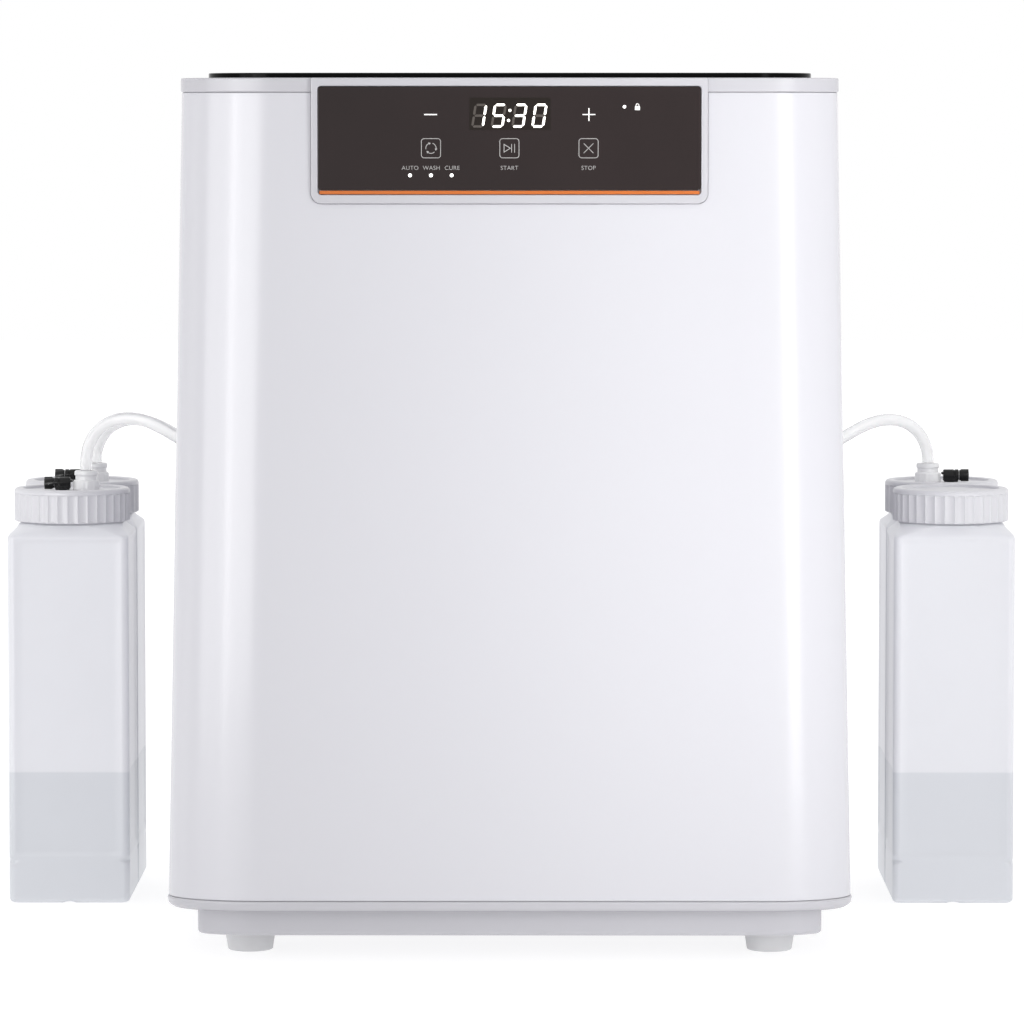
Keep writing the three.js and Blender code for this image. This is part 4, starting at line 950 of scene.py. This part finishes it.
def bottle_levels(wall, z_low, z_top):
    """Heights and outlines of a square bottle with a round neck, moved inwards by the wall."""
    def square(inset, corner, z, panel=0.0):
        half = BOTTLE_HALF - wall - inset
        return z, bottle_outline(half, max(corner - wall, 2.0), panel)

    def round_ring(radius, z):
        flat = bottle_outline(BOTTLE_HALF, BOTTLE_CORNER, 0.0)
        return z, [(x * radius / math.hypot(x, y), y * radius / math.hypot(x, y)) for x, y in flat]

    edge = BOTTLE_CORNER
    drop = 0.7 * wall
    foot = [square(inset, edge, z) for inset, z in arc((3.2, z_low + 3.2), 3.2, 270, 180, 5)]
    notch = [square(0.0, edge, 24.8), square(0.0, 7.0, 26.4), square(0.0, 7.0, 27.4), square(0.0, edge, 29.0)]
    sides = [square(0.0, edge, 31.0), square(0.0, edge, 33.5, PANEL_DEPTH),
             square(0.0, edge, 226.5, PANEL_DEPTH), square(0.0, edge, 229.6)]
    shoulder = [square(0.05, edge, 230.8), square(0.35, 5.0, 232.0),
                square(1.2, 8.0, 233.2 - drop / 2), square(2.9, 12.0, 234.9 - drop),
                square(4.5, 16.0, 236.6 - drop), square(5.3, 20.0, 238.2 - drop)]
    neck = [round_ring(NECK_RADIUS + 0.6 - wall, 239.2 - drop),
            round_ring(NECK_RADIUS - wall, 240.2 - drop), round_ring(NECK_RADIUS - wall, z_top)]
    return foot + notch + sides + shoulder + neck


def make_bottle(place_name, body):
    node = "bottle_" + place_name
    low, high = node_box(node)
    x, y, _ = halfway(low, high)
    outer = bottle_levels(0.0, 0.0, high.z)
    inner = bottle_levels(BOTTLE_WALL, BOTTLE_WALL, high.z)
    rings = [at_height(outline, z, x, y) for z, outline in outer]
    rings += [at_height(outline, z, x, y) for z, outline in reversed(inner)]
    bottle = loft(node + "_fine", rings)
    mould_mark = turned(lathe("tool", [(8.9, -60), (8.9, 60)], steps=96), "X", 90)
    cut(bottle, moved(mould_mark, x, y, -7.7))
    soften(bottle, sharp=50)
    place(bottle, body, "bottle_milky", node)

    inset = BOTTLE_WALL + 0.25
    rings = [at_height(outline, z, x, y) for z, outline in bottle_levels(inset, inset, high.z)
             if z < LIQUID_TOP - 5]
    surface = bottle_outline(BOTTLE_HALF - inset, 2.0, PANEL_DEPTH)
    rings.append(at_height(surface, LIQUID_TOP, x, y))
    liquid = soften(loft("liquid_" + place_name, rings))
    liquid.data.materials.append(LIQUID)
    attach(liquid, body)


def fluted_outline(radius, depth):
    """A circle with shallow flutes between narrow ridges."""
    per_rib = 12
    points = circle(1.0, CAP_RIBS * per_rib)
    reach = [radius - depth * math.sin(math.pi * step / per_rib) ** 0.75 for step in range(per_rib)]
    return [(reach[i % per_rib] * x, reach[i % per_rib] * y) for i, (x, y) in enumerate(points)]


def make_cap(place_name, body):
    node = "cap_" + place_name
    low, high = node_box(node)
    x, y, _ = halfway(low, high)
    bottom, top = low.z, high.z
    dish = top - CAP_DISH
    under = dish - 2.2
    hub = 9.0
    neck = NECK_RADIUS + 0.6
    fluted = [(0.9, 0.0, bottom), (0.1, 0.2, bottom + 0.35), (0.0, 0.95, bottom + 1.1),
              (0.0, 1.0, top - 4.0), (0.0, 0.8, top - 3.5), (0.0, 0.0, top - 3.1)]
    rim = [(0.05, 2.0), (0.35, 1.1), (0.9, 0.45), (1.7, 0.1), (2.6, 0.0), (5.0, 0.0), (5.7, 0.4),
           (6.0, CAP_DISH)]
    levels = [(CAP_RADIUS - inset, depth, z) for inset, depth, z in fluted]
    levels += [(CAP_RADIUS - inset, 0.0, top - drop) for inset, drop in rim]
    levels += [(hub, 0.0, dish), (hub, 0.0, under), (neck, 0.0, under), (neck, 0.0, bottom)]
    rings = [at_height(fluted_outline(r, depth), z, x, y) for r, depth, z in levels]
    cap = loft(node + "_fine", rings, ring_shaped=True)
    disc = lathe("disc", [(hub + 0.1, under), (hub + 0.1, dish)], x, y, 72)
    gathered(cap, disc)
    soften(cap, sharp=38)
    place(cap, body, "cap_grey", node)


def make_fitting(place_name):
    node = "hose_fitting_" + place_name
    low, high = node_box(node)
    x, y, _ = HOSE_ROUTES[place_name][0]
    grip = []
    for i, (unit_x, unit_y) in enumerate(circle(1.0, 72)):
        radius = 8.275 - 0.175 * math.cos(2 * math.pi * i / 72 * 12)
        grip.append((radius * unit_x, radius * unit_y))

    def ring(radius, z):
        return at_height(circle(radius, 72), z, x, y)

    rings = [at_height(grip, SEAT, x, y), at_height(grip, SEAT + 5.2, x, y)]
    rings += [ring(7.6, SEAT + 6.0), ring(6.8, SEAT + 6.2), ring(6.7, high.z - 3.4), ring(7.2, high.z - 2.9)]
    rings += [ring(7.4, high.z - 2.3), ring(7.3, high.z - 0.6), ring(6.7, high.z), ring(4.3, high.z)]
    rings += [ring(4.1, high.z - 1.5)]
    fitting = soften(loft(node + "_fine", rings), sharp=45)
    tube = lathe(node + "_tube", [(3.0, low.z), (3.0, SEAT + 0.3)], x, y, 32)
    gathered(fitting, soften(tube))
    place(fitting, "station", "white_plastic", node)


def make_valve(place_name):
    side = 1 if "right" in place_name else -1
    node = "vent_valve_" + place_name
    low, high = node_box(node)
    bottle_x = halfway(*node_box("bottle_" + place_name))[0]
    y = (low.y + high.y) / 2
    radius = VALVE_RADIUS
    axis_z = high.z - radius
    start = 0.9
    end = max(abs(low.x - bottle_x), abs(high.x - bottle_x))
    profile = [(3.0, start), (radius - 0.2, start + 0.4), (radius, start + 0.9), (radius, end - 3.4),
               (radius - 0.35, end - 3.1), (radius - 0.35, end - 2.6), (radius, end - 2.3),
               (radius, end - 0.4), (radius - 0.4, end)]
    barrel = moved(turned(lathe(node + "_fine", profile, steps=48), "Y", 90), 0, y, axis_z)
    prongs = [box_piece("prong", start - 1.0, start + 1.5, prong_y - 0.7, prong_y + 0.7,
                        axis_z + 0.6, axis_z + 2.0) for prong_y in (y - 2, y + 2)]
    saddle = box_piece("saddle", start + 0.5, end - 0.5, y - radius + GAP, y + radius - GAP, SEAT, axis_z)
    middle = (start + end) / 2
    stem = lathe("stem", [(2.5, low.z), (2.5, SEAT + 0.4)], middle, y, 32)
    soften(barrel, sharp=40)
    gathered(barrel, soften(saddle, 0.5, 3), soften(stem), *[soften(prong, 0.25, 2) for prong in prongs])
    if side < 0:
        mirrored(barrel)
    moved(barrel, bottle_x)
    place(barrel, "station", "vent_black", node)

    node = "vent_knob_" + place_name
    low, high = node_box(node)
    start = end + GAP
    finish = start + (high.x - low.x)
    wing = (high.z - low.z) / 2
    profile = [(3.1, start), (3.5, start + 0.4), (3.5, finish - 0.8), (3.0, finish - 0.1), (2.2, finish)]
    knob = soften(turned(lathe(node + "_fine", profile, steps=48), "Y", 90), sharp=40)
    moved(knob, 0, y, axis_z)
    blade = box_piece("blade", start + 1.0, finish, y - 0.8, y + 0.8, axis_z - wing, axis_z + wing)
    gathered(knob, soften(blade, 0.5, 3))
    if side < 0:
        mirrored(knob)
    moved(knob, bottle_x)
    place(knob, "vent_knob_" + place_name, "vent_black", node)


def make_bottles():
    for place_name in PLACES:
        spare = place_name == "right_front"
        make_bottle(place_name, "spare_bottle" if spare else "station")
        make_cap(place_name, "spare_cap" if spare else "station")
        if place_name in SIDES_WITH_HOSE:
            make_fitting(place_name)
            make_valve(place_name)


# ---- Hoses and ports ----
def make_hose(place_name):
    route = HOSE_ROUTES[place_name]
    name = "hose_" + place_name
    line = bpy.data.curves.new(name, "CURVE")
    line.dimensions = "3D"
    line.bevel_depth = HOSE_DIAMETER / 2 * MM
    line.bevel_resolution = 10
    line.resolution_u = 6
    line.use_fill_caps = True
    spline = line.splines.new("BEZIER")
    spline.bezier_points.add(len(route) - 1)
    for i, (point, target) in enumerate(zip(route, spline.bezier_points)):
        target.co = Vector(point) * MM
        target.handle_left_type = "AUTO"
        target.handle_right_type = "AUTO"
    hose = bpy.data.objects.new(name + "_fine", line)
    bpy.context.scene.collection.objects.link(hose)
    place(hose, "station", "hose_clear", name)


def make_port(place_name):
    node = "hose_port_" + place_name
    route = HOSE_ROUTES[place_name]
    end = Vector(route[-1])
    direction = (end - Vector(route[-2])).normalized()
    side = math.copysign(1, end.x)
    mouth = end + direction * GAP
    profile = [(3.95, 0.0), (5.1, 0.2), (5.5, 0.8), (5.5, 2.4), (5.0, 3.0), (5.0, 18.0), (2.6, 18.0),
               (2.6, 1.0)]
    sleeve = lathe("sleeve", profile, steps=48)
    turn = Vector((0, 0, 1)).rotation_difference(direction).to_matrix().to_4x4()
    sleeve.data.transform(Matrix.Translation(mouth * MM) @ turn)
    soften(sleeve, sharp=40)
    profile = [(12.6, -3.0)] + arc((12.0, -0.9), 1.0, 0, 90, 5)
    profile += [(8.6, 0.1), (8.2, -0.3), (6.2, -0.3), (6.2, -3.0)]
    flange = lathe(node + "_fine", profile, steps=72, ring_shaped=True)
    turned(flange, "Y", 90)
    if side < 0:
        turned(flange, "Z", 180)
    _, wall_y, wall_z = halfway(*node_box(node))
    outer_x = casing_outline(wall_z - 13, 0)[0][0] + GAP + 3.0
    moved(flange, side * outer_x, wall_y, wall_z)
    soften(flange, sharp=40)
    gathered(flange, sleeve)
    place(flange, "station", "white_plastic", node)


def make_hoses():
    for place_name in SIDES_WITH_HOSE:
        make_port(place_name)
        make_hose(place_name)


# ---- CAD nodes that keep their own shape ----
def finish_cad_nodes():
    for entry in frame["record"]["subparts"]:
        node = frame["nodes"][entry["node"]]
        if node.hide_render:
            continue
        node.data.materials.clear()
        node.data.materials.append(MATERIALS[entry["material_slot"]])


# ---- Stage, lights and camera ----
def make_stage():
    floor = new_object("floor", [(-9000, -9000, 0), (9000, -9000, 0), (9000, 9000, 0), (-9000, 9000, 0)],
                       [(0, 1, 2, 3)])
    material, _, shader = new_material("floor")
    set_inputs(shader, {"Base Color": (0.32, 0.32, 0.325, 1), "Roughness": 0.6, "Specular IOR Level": 0.2,
                        "Emission Color": (1, 1, 1, 1), "Emission Strength": 0.76})
    floor.data.materials.append(material)
    world = bpy.data.worlds.new("studio")
    world.use_nodes = True
    set_inputs(world.node_tree.nodes["Background"], {"Color": (1, 1, 1, 1), "Strength": 1.0})
    bpy.context.scene.world = world


def area_light(name, at, look_at, size, power, spread=180, glossy=True, diffuse=True):
    light = bpy.data.lights.new(name, "AREA")
    light.shape = "RECTANGLE"
    light.size, light.size_y = size
    light.energy = power
    light.spread = math.radians(spread)
    lamp = bpy.data.objects.new(name, light)
    lamp.location = at
    lamp.rotation_euler = (Vector(look_at) - Vector(at)).to_track_quat("-Z", "Y").to_euler()
    lamp.visible_glossy = glossy
    lamp.visible_diffuse = diffuse
    lamp.visible_camera = False
    bpy.context.scene.collection.objects.link(lamp)


def make_lights():
    """Panels that show as bright bands on the casing's corners, and two soft lights for its sides."""
    area_light("left_strip", (-1.55, -1.64, 0.45), (-0.16, -0.2, 0.3), (1.15, 1.7), 16.0, diffuse=False)
    area_light("left_panel", (-1.13, -2.61, 0.45), (-0.16, -0.2, 0.3), (1.1, 1.7), 23.0, diffuse=False)
    area_light("right_strip", (0.84, -1.30, 0.45), (0.16, -0.2, 0.3), (0.26, 1.5), 4.6, diffuse=False)
    area_light("left_side", (-1.3, -0.30, 0.3), (-0.2, -0.15, 0.25), (0.4, 1.2), 0.45, 30, glossy=False)
    area_light("right_fill", (0.36, -0.68, 0.22), (0.12, -0.2, 0.22), (0.2, 1.2), 0.95, 70, glossy=False)


def make_camera():
    camera = bpy.data.cameras.new("camera")
    camera.sensor_width = 36.0
    camera.lens = 194.3
    camera.clip_end = 60.0
    viewer = bpy.data.objects.new("camera", camera)
    viewer.location = (0.0135, -3.4113, 0.4918)
    viewer.rotation_euler = (math.radians(90 - 4.044), 0, math.radians(0.214))
    bpy.context.scene.collection.objects.link(viewer)
    bpy.context.scene.camera = viewer
    bpy.context.scene.view_settings.view_transform = "Standard"
    bpy.context.scene.view_settings.look = "None"


make_shell()
make_top_rim()
make_base()
make_feet()
make_rear()
make_power()
make_lid()
make_panel()
make_bottles()
make_hoses()
finish_cad_nodes()
make_stage()
make_lights()
make_camera()
